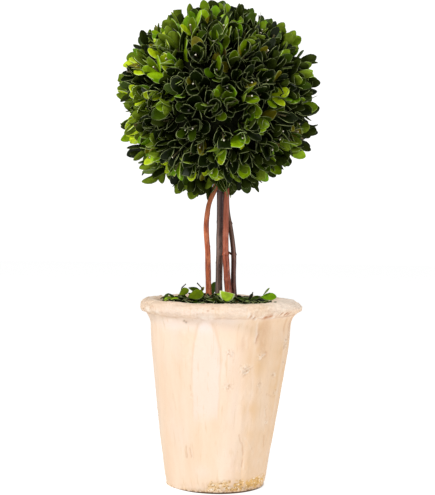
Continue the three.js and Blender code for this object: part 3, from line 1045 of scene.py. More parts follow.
def makeStem(stem, number, look):
    # rings round a smooth curve: an even taper, a flare at the foot that dies away by e^(-height), ridges and
    # swellings from noise, and a bell curve for each node, stronger on one side
    path = smoothThrough(stem["axis"], bark["rings"])
    rise = path[:, 2:] - ground
    turn = np.arange(bark["sides"])[None, :] / bark["sides"]
    radius = between(stem["footRadius"], stem["topRadius"], rise / rise[-1])
    radius = radius + bark["flare"] * np.exp(-rise / bark["flareHeight"])
    ridges = grain(turn, rise / 26, 9, 30 + number) + 0.5 * grain(turn, rise / 7, 18, 40 + number)
    swell = grain(0 * turn, rise / 11, 3, 50 + number)
    radius = radius + stem["ridge"] * ridges + bark["swell"] * swell
    for height, out in stem["nodes"]:
        lopsided = 0.6 + 0.4 * np.cos(turn * 2 * pi - 2.1 * number)
        radius = radius + out * lopsided * bell(rise - height, bark["nodeHalf"])
    path[:, :2] += bark["waver"] * np.column_stack([
        grain(0 * rise, rise / 17, 3, 60 + number),
        grain(0 * rise, rise / 19, 3, 70 + number),
    ])
    points, faces = tube(path, radius, bark["sides"])
    angle, strength = stem["paintedSheen"]
    # a pale streak up one side of the stem: painted highlight
    paintedSheen = strength * bell(turnFrom(turn * 360, angle), bark["paintedSheenHalf"])
    paintedSheen = paintedSheen * (0.75 + 0.5 * grain(turn, rise / 18, 9, 75 + number))
    return putMesh(stem["name"] + "_bark", points, faces, [look], marks={"paintedSheen": paintedSheen})


def barkLook(stem):
    # upright streaks of three tones, a tint that sets in at a height, a painted highlight streak and fine
    # cross wrinkles
    dark, middle, light = stem["tones"]
    tintHeight, tint = stem["upperTint"]
    # colour of the painted highlight streak
    paintedLight = tuple(min(part * 1.7 + 0.04, 1) for part in light)
    look = Look(stem["bark"], Specular_IOR_Level=0.35)
    streaks = look.noise(900, 4, 0.6, (1, 1, 0.09))
    blotch = look.noise(210, 3, 0.6, (1, 1, 0.4))
    rise = look.node("ShaderNodeSeparateXYZ", inputs={0: look.objectPlace()}, output="Z")
    above = look.ramp((rise - tintHeight) / bark["tintFade"] + 0.5, (0, 0), (1, 1))
    tone = look.mix(look.ramp(streaks, (0.38, 0), (0.62, 1)), dark, middle)
    tone = look.mix(look.ramp(blotch, (0.5, 0), (0.68, 0.8)), tone, light)
    tone = look.mix(above * 0.7, tone, tint)
    tone = look.mix(look.mark("paintedSheen") * 0.75, tone, paintedLight)
    wrinkles = look.bump(look.noise(1400, 3, 0.6, (0.5, 0.5, 1.3)), 0.35, 0.0002)
    ridged = look.bump(streaks, 0.5, 0.0003, wrinkles)
    return look.paint(Base_Color=tone, Roughness=0.3 + blotch * 0.2, Normal=ridged)


def makeStub(stem, look):
    # the cut side shoot: rings along a straight line, tapering a little, cut off square
    root = np.array(stem["axis"][stub["axisPoint"]], float) + [0, 0, ground]
    along = unit(np.array([-np.cos(stub["rise"]), stub["backward"], np.sin(stub["rise"])]))
    side = unit(np.cross(along, [0, 1, 0]))
    across = np.cross(along, side)
    reach = stub["length"] * np.array(stub["stations"])[:, None, None]
    radius = stub["radius"] * np.array(stub["girths"])[:, None, None]
    turn = np.arange(stub["sides"])[None, :, None] / stub["sides"] * 2 * pi
    points = root + along * reach + radius * (side * np.cos(turn) + across * np.sin(turn))
    rings, ring = len(stub["stations"]), np.arange(stub["sides"])
    caps = np.array([ring[::-1], (rings - 1) * stub["sides"] + ring])
    faces = [gridFaces(rings, stub["sides"]), caps]
    return putMesh("stem_bowed_shoot", points.reshape(-1, 3), faces, [look])


barks = [barkLook(stem) for stem in stems]
for number, stem in enumerate(stems):
    stands(makeStem(stem, number, barks[number]), stem["name"])
stands(makeStub(stems[-1], barks[-1]), "stem_bowed")
print("stems done")


# Leaves: closed thin blades of eight points round and eight stations along

leafStations = np.array([0, 0.15, 0.36, 0.58, 0.78, 0.91, 0.975, 1.0])
ringAcross = np.array([-0.95, -0.5, 0, 0.5, 0.95, 1, 0, -1])  # from the middle vein, in half widths
ringSide = np.array([1, 1, 1, 1, 1, -1, -1, -1])  # above or below the blade's middle layer
ringGroove = np.array([0, 0, 1, 0, 0, 0, 1, 0])  # which points lie in the middle vein
ringLooks = np.array([0, 0, 0, 0, 1, 2, 2, 1])  # blade, rim or underside, for the faces that start there
leafShape = {"swell": 1.45, "blunt": 0.58, "leastHalf": 0.25, "groove": 0.08}

# Colours of blades, rims and undersides: colour, roughness, gloss and how strongly mottled
leafColours = {
    "darkLeaf": ((0.006, 0.011, 0.001), 0.25, 0.10, 0.25),
    "deepLeaf": ((0.030, 0.056, 0.001), 0.25, 0.11, 0.25),
    "midLeaf": ((0.108, 0.176, 0.001), 0.28, 0.11, 0.25),
    "freshLeaf": ((0.13, 0.27, 0.002), 0.28, 0.11, 0.25),
    "lightLeaf": ((0.24, 0.39, 0.003), 0.28, 0.12, 0.25),
    "paleLeaf": ((0.33, 0.50, 0.02), 0.45, 0.12, 0.25),
    "creamLeaf": ((0.66, 0.74, 0.36), 0.5, 0.2, 0.25),
    "mattLeaf": ((0.088, 0.135, 0.001), 0.5, 0.04, 0.25),
    "limeLeaf": ((0.47, 0.61, 0.006), 0.35, 0.2, 0.25),
    "oliveLeaf": ((0.15, 0.135, 0.003), 0.4, 0.15, 0.25),
    "bronzeLeaf": ((0.080, 0.050, 0.006), 0.4, 0.15, 0.25),
    # The rims are far paler than their blades: partly the leaves' paler margins, partly painted highlight
    # along the edges
    "paleRim": ((0.44, 0.55, 0.22), 0.5, 0.2, 0.25),
    "limeRim": ((0.62, 0.72, 0.32), 0.5, 0.2, 0.25),
    "creamRim": ((0.68, 0.78, 0.42), 0.5, 0.2, 0.25),
    "softRim": ((0.28, 0.355, 0.108), 0.5, 0.15, 0.6),
    "dullRim": ((0.205, 0.238, 0.094), 0.5, 0.15, 0.7),
    "paleUnderside": ((0.13, 0.19, 0.010), 0.6, 0.06, 0.25),
    "darkUnderside": ((0.022, 0.033, 0.002), 0.6, 0.06, 0.25),
}
leafKinds = {
    "dark": ("darkLeaf", "dullRim", "darkUnderside"),
    "deep": ("deepLeaf", "dullRim", "darkUnderside"),
    "mid": ("midLeaf", "softRim", "paleUnderside"),
    "fresh": ("freshLeaf", "softRim", "paleUnderside"),
    "light": ("lightLeaf", "paleRim", "paleUnderside"),
    "pale": ("paleLeaf", "creamRim", "paleUnderside"),
    "cream": ("creamLeaf", "creamRim", "paleUnderside"),
    "matt": ("mattLeaf", "softRim", "paleUnderside"),
    "lime": ("limeLeaf", "limeRim", "paleUnderside"),
    "olive": ("oliveLeaf", "softRim", "darkUnderside"),
    "bronze": ("bronzeLeaf", "dullRim", "darkUnderside"),
}


def leafPoints(leaf):
    # root + along * u + side * v * half(u) + face * (cup * half * v^2 - bend * u^2), for each leaf of the
    # arrays, with side and face turned by twist * u. half(u) = width / 2 * sin(pi * (u * whole)^swell)^blunt,
    # where whole under 1 is a leaf cut by shears
    u = leafStations[None, :]
    drawn = np.clip(u * leaf["whole"][:, None], 0, 1) ** leaf["swell"][:, None]
    half = leaf["width"][:, None] / 2 * np.maximum(np.sin(pi * drawn), 0) ** leaf["blunt"][:, None]
    half = np.maximum(half, leafShape["leastHalf"])[:, :, None]
    straight = np.sum(leaf["face"] * leaf["along"], axis=1, keepdims=True)
    face = unit(leaf["face"] - leaf["along"] * straight)
    side = np.cross(leaf["along"], face)
    turn = (leaf["twist"][:, None] * u)[:, :, None, None]
    sideway = side[:, None, None, :] * np.cos(turn) + face[:, None, None, :] * np.sin(turn)
    upward = face[:, None, None, :] * np.cos(turn) - side[:, None, None, :] * np.sin(turn)
    sag = (leaf["bend"] * leaf["length"])[:, None, None] * (u**2)[:, :, None]
    middle = leaf["along"][:, None, :] * (u * leaf["length"][:, None])[:, :, None]
    middle = middle - face[:, None, :] * sag + leaf["root"][:, None, :]
    across = half * ringAcross
    lift = leaf["cup"][:, None, None] * half * ringAcross**2 - leafShape["groove"] * half * ringGroove
    lift = lift + leaf["thick"][:, None, None] / 2 * ringSide
    return middle[:, :, None, :] + sideway * across[..., None] + upward * lift[..., None]


def leafMesh(name, leaf, looks):
    # leaves side by side in one mesh, each a grid closed by two five-sided faces at its root and two at its
    # tip. Looks are those of the blade, its rim and its underside
    points = leafPoints(leaf)
    count, stations, around = points.shape[:3]
    each = stations * around
    quads = gridFaces(stations, around)
    base = np.array([[2, 1, 0, 7, 6], [4, 3, 2, 6, 5]])
    tip = each - around + np.array([[0, 1, 2, 6, 7], [2, 3, 4, 5, 6]])
    starts = (np.arange(count) * each)[:, None, None]
    faces = [(starts + quads).reshape(-1, 4), (starts + base).reshape(-1, 5), (starts + tip).reshape(-1, 5)]
    quadLooks = np.tile(ringLooks, (stations - 1) * count)
    faceLooks = np.concatenate([quadLooks, np.ones(4 * count, int)])
    return putMesh(name, points.reshape(-1, 3), faces, looks, faceLooks, smooth=faceLooks != 1)


def leafLook(name, colour, roughness, gloss, mottle=0.25):
    # a plain base colour, darker and lighter by the share mottle in soft patches, with a few dark specks
    look = Look(name, Roughness=roughness, Specular_IOR_Level=gloss)
    patches = look.noise(160, 2, 0.5)
    darker = tuple(part * (1 - mottle) for part in colour)
    lighter = tuple(part * (1 + mottle) for part in colour)
    tone = look.mix(look.ramp(patches, (0.35, 0), (0.65, 1)), darker, lighter)
    tone = look.mix(look.ramp(look.noise(520, 2, 0.6), (0.38, 0.3), (0.5, 0)), tone, darker)
    veins = look.bump(look.noise(700, 2, 0.5), 0.2, 0.0002)
    return look.paint(Base_Color=tone, Roughness=roughness + patches * 0.1, Normal=veins)


def pick(leaf, chosen):
    # the same leaves' values out of every array
    return {key: values[chosen] for key, values in leaf.items()}


leafLooks = {name: leafLook(name, *values) for name, values in leafColours.items()}


# Clipped ball

ball = {
    "centre": (-2.5, 0, 394.5),
    "radius": 107,
    "coreRadius": 67,
    "coreSwell": 5,  # how far the dark middle, painted shade, stands out past that
    "coreRough": 2.2,
    "coreGrid": (90, 180),
    "sprigs": 330,
    "sprigLean": 0.38,
    "bulgeFree": (8, 2),  # a bulge from which no sprig is shortened, and up to which all may be
    "trimShare": 0.8,  # how much of its sprig's shortening a twig has
    "bulgeShare": 0.7,  # and of a bulge
    "pairTurn": 0.5,  # radians that a pair may be turned from crosswise
    "halfTurn": 0.6,  # and its leaves from opposite
    "spreads": (-0.28, 0.3),
    "leafTilt": 0.9,
    "twigSunk": 3,
    "twigs": (13, 19),
    "twigRadius": 0.9,
    "twigSides": 7,
    "pastLeaves": (4, 16),  # the cut leader stands past the last leaves
    "paleEnds": 0.8,  # share of the twigs with a pale cut end
    "leafLengths": (18, 27),
    "leafWidths": (9, 14.5),
    "leastLeaf": 8,
    "sprigTrim": 9.5,  # how far inside the clipped surface the shortest sprigs end
    "leafTrim": 4.5,  # and the shortest leaves of a sprig
    "lostShare": 0.14,  # share of the leaves that have dropped
    "cutShare": 0.08,  # share of the leaves too long for the ball that the shears cut
    "cups": (-0.2, 0.35),
    "bends": (-0.06, 0.16),
    "twist": 0.4,
    "thickness": (0.26, 0.36),
    "sprigTones": (0.06, 0.36),
    "leafTone": 0.3,
    "innerShade": 0.04,  # how much darker each pair is than the pair above it, the lower ones lying deeper in the ball: painted shade
    "baseTone": 0.085,
    "litTone": 0.12,  # how much brighter towards the light
    "freshShare": 0.2,
    "oliveOver": 0.95,
    "bronzeOver": 0.985,
}
leafPairs = [
    {"height": 0.0, "spread": 0.62},
    {"height": 0.28, "spread": 0.52},
    {"height": 0.54, "spread": 0.43},
    {"height": 0.78, "spread": 0.36},
    {"height": 1.0, "spread": 0.28},
]
# Kinds of leaf, and the tone up to which each goes
kindSteps = [("dark", 0.25), ("deep", 0.40), ("mid", 0.55), ("light", 0.76), ("lime", 9)]

# Places where the clipped surface isn't round: degrees round, degrees up, reach in degrees, and how far out
unevenness = [
    (90, -48, 8, -5),
    (90, -28, 11, 10),
    (90, -9, 8, 6),
    (88, 15, 12, 2),
    (88, 34, 11, 8),
    (99, 58, 7, 9),
    (66, 57, 6, 2),
    (-90, 88, 8, -4),
    (-90, 78, 6, 2),
    (5, 80, 6, -2),
    (-90, 52, 9, -10),
    (-90, 38, 8, 7),
    (-90, 20, 8, 1),
    (-90, -3, 8, 6),
    (-95, -22, 9, 7),
    (-90, -44, 10, 9),
    (-95, -60, 9, 10),
    (-80, -78, 8, 5),
    (40, -80, 14, -2),
    (80, -62, 7, 5),
    (150, 10, 18, -4),
    (-150, -30, 14, 3),
]

# Sprays of lighter and darker leaves: degrees round from the front to the right, degrees up, reach in
# degrees, how bright.
# Below 0 they are darker. Partly young and old dark leaves, partly painted light and painted shade
brightAndDarkSprays = [
    (-40, 20, 11, 0.65),
    (-37, 17, 8, 0.35),
    (-55, 22, 8, 0.3),
    (-75, 19, 7, -0.3),
    (-58, 29, 8, 1.5),
    (-38, 3, 8, 0.15),
    (-70, -6, 9, 0.5),
    (-77, -15, 10, 1.6),
    (-63, -31, 8, 1.7),
    (-80, -32, 7, 0.6),
    (-50, -57, 8, 1.6),
    (-36, -3, 7, 0.55),
    (-33, 41, 8, 0.85),
    (-46, 54, 8, 0.5),
    (-43, 30, 7, -0.5),
    (3, 42, 9, 0.6),
    (19, 38, 7, 0.45),
    (32, 39, 7, 0.25),
    (6, 14, 7, 0.3),
    (6, 26, 6, -0.25),
    (79, -42, 9, 0.45),
    (61, 41, 8, 0.2),
    (66, 9, 8, 0.65),
    (46, 0, 8, 0.65),
    (19, -14, 8, 0.5),
    (26, -22, 6, 0.3),
    (14, -25, 7, -0.5),
    (3, -4, 7, -0.2),
    (20, -32, 10, 0.9),
    (-5, -59, 8, 0.4),
    (27, -58, 8, 0.8),
    (0, -59, 8, 0.1),
    (60, -34, 8, 0.5),
    (-17, -23, 8, -0.45),
    (5, -28, 7, -0.15),
    (-25, 7, 9, -0.5),
    (-15, 6, 6, -0.2),
    (-38, 7, 6, -0.3),
    (26, 10, 9, -0.35),
    (36, 28, 10, -0.35),
    (48, 40, 8, -0.15),
    (-19, 38, 8, -1.0),
    (-22, 54, 9, -0.55),
    (-48, -2, 7, -0.8),
    (-53, -21, 6, -0.5),
    (-39, -25, 8, -0.6),
    (-21, -44, 7, -0.25),
    (24, -44, 8, -0.7),
    (-7, -44, 7, -0.3),
    (52, -21, 7, -0.8),
    (33, -44, 7, -0.3),
    (35, -3, 7, -0.75),
    (110, 20, 12, 0.45),
    (140, -15, 9, 0.4),
    (170, 35, 10, 0.4),
    (-150, 5, 12, 0.45),
    (-115, 40, 10, 0.4),
    (-175, -40, 9, 0.35),
]

lightward = unit(np.array([-0.7, 0.1, 0.42]))  # the upper left side of the ball, towards the key light, whose leaves are dealt lighter colours: painted light
centre = np.array(ball["centre"], float)


def pointing(azimuth, height):
    # unit vector from degrees round, front to right, and degrees up
    return np.array([
        np.sin(radians(azimuth)) * np.cos(radians(height)),
        -np.cos(radians(azimuth)) * np.cos(radians(height)),
        np.sin(radians(height)),
    ])


def overBall(outward, places):
    # the sum of bell curves of the angle from places given as degrees round, degrees up, reach and strength
    total = np.zeros(len(outward))
    for azimuth, height, reach, strength in places:
        off = np.degrees(np.arccos(np.clip(outward @ pointing(azimuth, height), -1, 1)))
        total = total + strength * bell(off, reach)
    return total


def sidesOf(along):
    # two unit vectors square to each direction and to each other
    guide = np.where(np.abs(along[:, 2:]) > 0.9, [[1.0, 0, 0]], [[0, 0, 1.0]])
    sideA = unit(np.cross(guide, along))
    return sideA, np.cross(along, sideA)


def roomAhead(root, along, limit):
    # length from root along a direction to the sphere of radius limit: -b + sqrt(b^2 + limit^2 - |root|^2)
    away = root - centre
    b = np.sum(away * along, axis=1)
    return -b + np.sqrt(np.maximum(b**2 + limit**2 - np.sum(away**2, axis=1), 0))


def growSprigs():
    # the source's rule: even spots by the golden angle, each axis leaning a little off straight out.
    # Twigs are longer on the bulges and shorter where the shears went deeper, and lighter or darker in the
    # listed sprays, partly painted light and shade
    item = np.arange(ball["sprigs"])
    level = 1 - (2 * item + 1) / ball["sprigs"]
    ring = np.sqrt(1 - level**2)
    outward = np.stack([ring * np.cos(item * goldenAngle), ring * np.sin(item * goldenAngle), level], axis=1)
    sideA, sideB = sidesOf(outward)
    leanA, leanB = (jitter(item, purpose, ball["sprigLean"])[:, None] for purpose in (1, 2))
    bulge = overBall(outward, unevenness)
    trim = ball["sprigTrim"] * chance(item, 6) ** 1.5 * softStep(*ball["bulgeFree"], bulge)
    twig = between(*ball["twigs"], chance(item, 7))
    # lighter towards lightward: painted light
    tone = ball["baseTone"] + ball["litTone"] * outward @ lightward + overBall(outward, brightAndDarkSprays)
    return {
        "item": item,
        "sideA": sideA,
        "sideB": sideB,
        "axis": unit(outward + sideA * leanA + sideB * leanB),
        "start": centre + outward * (ball["coreRadius"] - ball["twigSunk"]),
        "twig": twig - ball["trimShare"] * trim + ball["bulgeShare"] * bulge,
        "limit": ball["radius"] + bulge - trim,
        "tone": tone + between(*ball["sprigTones"], chance(item, 8)),
    }


def growLeaf(sprig, order, half):
    # one leaf of one pair on every sprig. Pairs stand crosswise, each leaf spread out from the axis by an
    # angle, tilted about its own length, and no longer than the room up to the clipped surface
    item, axis = sprig["item"], sprig["axis"]
    purpose = 10 + order * 4 + half * 2
    turn = item * goldenAngle + order * pi / 2 + jitter(item, 3 + order, ball["pairTurn"])
    angle = (turn + half * (pi + jitter(item, 450 + order, ball["halfTurn"])))[:, None]
    across = sprig["sideA"] * np.cos(angle) + sprig["sideB"] * np.sin(angle)
    spread = leafPairs[order]["spread"] + between(*ball["spreads"], chance(item, purpose))
    spread = spread[:, None]
    along = axis * np.cos(spread) + across * np.sin(spread)
    face = axis * np.sin(spread) - across * np.cos(spread)
    tilt = jitter(item, 90 + purpose, ball["leafTilt"])[:, None]
    face = face * np.cos(tilt) + np.cross(along, face) * np.sin(tilt)
    up = ball["twigSunk"] + leafPairs[order]["height"] * sprig["twig"]
    root = sprig["start"] + axis * up[:, None]

    wanted = between(*ball["leafLengths"], chance(item, 50 + purpose))
    room = roomAhead(root, along, sprig["limit"] - ball["leafTrim"] * chance(item, purpose + 1))
    cut = (room < wanted) & (chance(item, 130 + purpose) < ball["cutShare"])
    length = np.minimum(wanted, room)
    width = between(*ball["leafWidths"], chance(item, 170 + purpose))
    # lower pairs darker, deeper in the ball: painted shade
    darker = ball["innerShade"] * (len(leafPairs) - 1 - order)
    return {
        "root": root,
        "along": along,
        "face": face,
        "length": length,
        "width": np.where(cut, width, width * np.clip(length / wanted, 0.6, 1) ** 0.5),
        "whole": np.where(cut, np.clip(room / wanted, 0.5, 1), 1),
        "swell": np.full(len(item), leafShape["swell"]),
        "blunt": np.full(len(item), leafShape["blunt"]),
        "cup": between(*ball["cups"], chance(item, 250 + purpose)),
        "bend": between(*ball["bends"], chance(item, 290 + purpose)),
        "twist": jitter(item, 330 + purpose, ball["twist"]),
        "thick": between(*ball["thickness"], chance(item, 370 + purpose)),
        "tone": sprig["tone"] + jitter(item, 210 + purpose, ball["leafTone"]) - darker,
        "odd": chance(item, 410 + purpose),
        "lost": chance(item, 460 + purpose),
    }


def growLeaves(sprig):
    # every leaf of every sprig as one set of arrays, without the dropped and the too short ones
    grown = [growLeaf(sprig, order, half) for order in range(len(leafPairs)) for half in (0, 1)]
    leaf = {key: np.concatenate([some[key] for some in grown]) for key in grown[0]}
    return pick(leaf, (leaf["length"] > ball["leastLeaf"]) & (leaf["lost"] > ball["lostShare"]))


def kindOf(leaf):
    # each leaf's kind by its tone, with some fresh, olive and bronze ones at random
    steps = np.array([top for name, top in kindSteps])
    number = np.searchsorted(steps, leaf["tone"])
    names = np.array([name for name, top in kindSteps])[number]
    names = np.where((leaf["odd"] < ball["freshShare"]) & (number > 1), "fresh", names)
    names = np.where(leaf["odd"] > ball["oliveOver"], "olive", names)
    return np.where(leaf["odd"] > ball["bronzeOver"], "bronze", names)


def rods(start, end, startRadius, endRadius, sides, looks, name, endLooks=0):
    # straight many-sided rods, each with a cap on both ends, the far one with a look of its own
    count = len(start)
    sideA, sideB = sidesOf(unit(end - start))
    turn = (np.arange(sides) / sides * 2 * pi)[None, :, None]
    ring = sideA[:, None, :] * np.cos(turn) + sideB[:, None, :] * np.sin(turn)
    foot = start[:, None, :] + ring * startRadius
    top = end[:, None, :] + ring * endRadius
    points = np.stack([foot, top], axis=1).reshape(-1, 3)
    starts = (np.arange(count) * 2 * sides)[:, None, None]
    walls = (starts + gridFaces(2, sides)).reshape(-1, 4)
    bothEnds = np.array([np.arange(sides)[::-1], sides + np.arange(sides)])
    caps = (starts + bothEnds).reshape(-1, sides)
    capLooks = np.stack(np.broadcast_arrays(np.zeros(count, int), endLooks), axis=1)
    faceLooks = np.concatenate([np.zeros(len(walls), int), capLooks.ravel()])
    return putMesh(name, points, [walls, caps], looks, faceLooks)


def makeCore():
    # the near-black middle standing in for the shade deep in the ball, painted shade: a sphere pushed in and
    # out by noise, closed by a flat face at each pole
    rows, columns = ball["coreGrid"]
    polar = np.linspace(0.01, pi - 0.01, rows)[:, None]
    turn = np.arange(columns)[None, :] / columns
    rough = grain(turn, polar * 14, 44, 81) + 0.7 * grain(turn, polar * 34, 100, 82)
    reach = ball["coreRadius"] + ball["coreSwell"] + ball["coreRough"] * rough * np.sin(polar)
    bearing = turn * 2 * pi
    x = reach * np.sin(polar) * np.cos(bearing)
    y = reach * np.sin(polar) * np.sin(bearing)
    z = reach * np.cos(polar)
    points = np.stack([x, y, z], axis=-1).reshape(-1, 3) + centre
    ring = np.arange(columns)
    ends = np.array([ring, len(points) - 1 - ring])
    look = Look("shadeCore", Roughness=0.95, Specular_IOR_Level=0.1)
    coreMottle = look.noise(240, 4, 0.6)
    dark = look.mix(look.ramp(coreMottle, (0.4, 0), (0.7, 1)), (0.003, 0.004, 0.001), (0.014, 0.016, 0.005))
    look.paint(Base_Color=dark, Normal=look.bump(coreMottle, 0.6, 0.002))
    return putMesh("foliage_core", points, [gridFaces(rows, columns)[:, ::-1], ends], [look])


def makeTwigs(sprig):
    # a straight twig from inside the core to a little past the last leaves, most with a pale cut end
    past = between(*ball["pastLeaves"], chance(sprig["item"], 9))
    end = sprig["start"] + sprig["axis"] * (ball["twigSunk"] + sprig["twig"] + past)[:, None]
    paleEnd = (chance(sprig["item"], 470) < ball["paleEnds"]).astype(int)
    looks = [
        leafLook("twigBark", (0.10, 0.085, 0.035), 0.7, 0.2),
        leafLook("cutWood", (0.85, 0.80, 0.64), 0.8, 0.1),
    ]
    radius = ball["twigRadius"]
    return rods(sprig["start"], end, radius, radius, ball["twigSides"], looks, "foliage_twigs", paleEnd)


stands(makeCore(), "foliage_ball")
sprigs = growSprigs()
leaves = growLeaves(sprigs)
kinds = kindOf(leaves)
for kind, lookNames in leafKinds.items():
    some = pick(leaves, kinds == kind)
    if len(some["length"]):
        print("leaves,", kind, len(some["length"]))
        looks = [leafLooks[name] for name in lookNames]
        stands(leafMesh("foliage_" + kind, some, looks), "foliage_ball")
stands(makeTwigs(sprigs), "foliage_ball")
print("ball done")


# Fallen leaves round the stems

litter = {
    "leaves": 460,
    "reach": 59.5,
    "overhang": 3,
    "axisShift": 4.6,  # how far right the pot's axis has drifted up there
    "lowest": 1.5,
    "middleHeap": 6,
    "edgeHeap": 6.5,
    "rightHeap": 0.45,
    "slope": 0.5,
    "tilt": 0.6,
    "lengths": (10, 16),
    "widths": (6.5, 9.5),
    "cups": (-0.5, 0.7),
    "bends": (-0.15, 0.2),
    "twist": 0.6,
    "thickness": 0.5,
    "tone": 0.62,
    "deepOver": 0.3,
    "midOver": 0.57,
    "bronzeOver": 0.93,
    "stalkRadii": (0.75, 0.55),
    "stalkSides": 6,
}

# Leaves that stand out in the photograph: kind, place, roll in the picture's plane and lean back in degrees,
# length, width, cup, and the share of the outline that shows, half of it where a leaf is folded
fallen = [
    ("pale", (10.0, -38, 195.1), 78, 10, 9.2, 14.4, 0.25, 0.5),
    ("cream", (9.8, -37, 194.7), 78, 10, 10.4, 16.6, 0.25, 0.5),
    ("matt", (-21.5, -36, 196.6), 16, 22, 16.5, 11.5, 0.2, 1),
    ("matt", (-33.5, -26, 198.8), 30, 30, 11, 9.0, 0.3, 1),
    ("deep", (-23, -18, 200.6), -20, 50, 13, 9, 0.2, 1),
    ("fresh", (52, -26, 194.9), 4, 25, 16.5, 9, 0.3, 1),
    ("mid", (49.8, -27, 200.6), 50, 20, 9.5, 2.1, 0.3, 1),
    ("deep", (-3.8, 20, 200.2), 80, 30, 14, 8.5, 0.2, 1),
    ("pale", (3.4, -34, 198.2), 24, 40, 8, 2.8, 0.2, 1),
    ("olive", (-15.2, -24, 201.2), 60, 30, 7, 3.6, 0.2, 1),
    ("deep", (-54.8, -8, 191.4), 15, 60, 7, 3.5, 0.3, 1),
    ("dark", (-54.0, -13, 190.8), -20, 60, 7, 3.5, 0.3, 1),
    ("light", (-51.0, -20, 190.4), 30, 60, 6, 3, 0.3, 1),
    ("deep", (-52.5, -2, 193.2), 40, 50, 8, 4, 0.3, 1),
    ("dark", (34, -20, 194.0), 60, 30, 9, 4, 0.3, 1),
    ("deep", (39, -22, 193.4), 20, 40, 9, 5, 0.3, 1),
    ("light", (-51, -14, 191.5), 25, 60, 8, 4, 0.3, 1),
    ("mid", (-47, -20, 191.8), -15, 60, 9, 4, 0.3, 1),
    ("light", (-43, -24, 191.6), 10, 50, 8, 4, 0.3, 1),
    ("deep", (-53, -4, 191.5), 50, 50, 9, 5, 0.3, 1),
    ("deep", (-46, -10, 193.0), -40, 50, 10, 5, 0.3, 1),
    ("olive", (-49, -16, 190.6), 70, 50, 7, 4, 0.3, 1),
]

# Loose stalks: both ends
stalks = [
    ((-20.4, -27, 208.3), (-13.8, -27, 201.4)),
    ((-36.8, -24, 197.5), (-35.8, -24, 203.0)),
    ((-35.8, -24, 203.0), (-31.6, -24, 207.0)),
    ((33, -22, 193.5), (36.5, -22, 199.5)),
]


def bedLeaves():
    # small leaves by the golden angle over the filling, lying at all slants, heaped up a little in the middle
    item = np.arange(litter["leaves"])
    share = (item + 0.5) / litter["leaves"]
    radius = litter["reach"] * np.sqrt(share) - 4 * chance(item, 501) * share
    bearing = item * goldenAngle + jitter(item, 502, 0.2)
    heap = between(litter["middleHeap"], litter["edgeHeap"], share)
    heap = heap * between(1, litter["rightHeap"], softStep(-2, 14, radius * np.sin(bearing)))
    height = fillingTop(radius) + litter["lowest"] + heap * chance(item, 503)
    heading = chance(item, 504) * 2 * pi
    slope = jitter(item, 505, litter["slope"])
    tilt = jitter(item, 506, litter["tilt"])[:, None]
    level = np.stack([np.cos(heading), np.sin(heading)], axis=1) * np.cos(slope)[:, None]
    along = np.column_stack([level, np.sin(slope)])
    flat = unit(np.cross(along, np.cross([[0, 0, 1.0]], along)))
    length = between(*litter["lengths"], chance(item, 507))
    middle = potPoints(radius, height, bearing / (2 * pi))
    root = middle - along * length[:, None] / 2
    tip = middle + along * length[:, None] / 2
    rootAway = np.hypot(root[:, 0], root[:, 1])
    tipAway = np.hypot(tip[:, 0] - litter["axisShift"], tip[:, 1])
    leaf = {
        "root": root,
        "along": along,
        "face": flat * np.cos(tilt) + np.cross(along, flat) * np.sin(tilt),
        "length": length,
        "width": between(*litter["widths"], chance(item, 508)),
        "whole": np.ones(len(item)),
        "swell": np.full(len(item), leafShape["swell"]),
        "blunt": np.full(len(item), leafShape["blunt"]),
        "cup": between(*litter["cups"], chance(item, 509)),
        "bend": between(*litter["bends"], chance(item, 510)),
        "twist": jitter(item, 511, litter["twist"]),
        "thick": np.full(len(item), litter["thickness"]),
        "tone": litter["tone"] * chance(item, 512),
        "odd": chance(item, 513),
    }
    return pick(leaf, np.maximum(rootAway, tipAway) < litter["reach"] + litter["overhang"])


def namedLeaves():
    # along lies in the picture's plane, turned by roll, and the face leans back from the viewer
    kinds, place, roll, lean, length, width, cup, whole = (np.array(values) for values in zip(*fallen))
    roll, lean = np.radians(roll), np.radians(lean)[:, None]
    along = np.stack([np.cos(roll), 0 * roll, np.sin(roll)], axis=1)
    up = np.stack([-np.sin(roll), 0 * roll, np.cos(roll)], axis=1)
    return kinds, {
        "root": place - along * length[:, None] / 2,
        "along": along,
        "face": np.array([[0, -1.0, 0]]) * np.cos(lean) + up * np.sin(lean),
        "length": length,
        "width": width,
        "whole": whole,
        "swell": np.where(whole < 1, 1, leafShape["swell"]),  # half an ellipse where it is folded
        "blunt": np.where(whole < 1, 0.5, leafShape["blunt"]),
        "cup": cup,
        "bend": np.full(len(fallen), 0.05),
        "twist": np.full(len(fallen), 0.2),
        "thick": np.full(len(fallen), litter["thickness"]),
    }


bed = bedLeaves()
bedKinds = np.where(bed["tone"] > litter["deepOver"], "deep", "dark")
bedKinds = np.where(bed["tone"] > litter["midOver"], "mid", bedKinds)
bedKinds = np.where(bed["odd"] > litter["bronzeOver"], "bronze", bedKinds)
namedKinds, named = namedLeaves()
for kind, lookNames in leafKinds.items():
    parts = [pick(bed, bedKinds == kind), pick(named, namedKinds == kind)]
    some = {key: np.concatenate([part[key] for part in parts]) for key in named}
    if len(some["length"]):
        looks = [leafLooks[name] for name in lookNames]
        stands(leafMesh("litter_" + kind, some, looks), "leaf_litter")
stalkEnds = np.array(stalks, float)
stalkLook = leafLook("stalkBark", (0.035, 0.03, 0.012), 0.7, 0.1)
thick, thin = litter["stalkRadii"]
sides = litter["stalkSides"]
stalkRods = rods(stalkEnds[:, 0], stalkEnds[:, 1], thick, thin, sides, [stalkLook], "litter_stalks")
stands(stalkRods, "leaf_litter")
print("litter done")


# Floor, light and camera

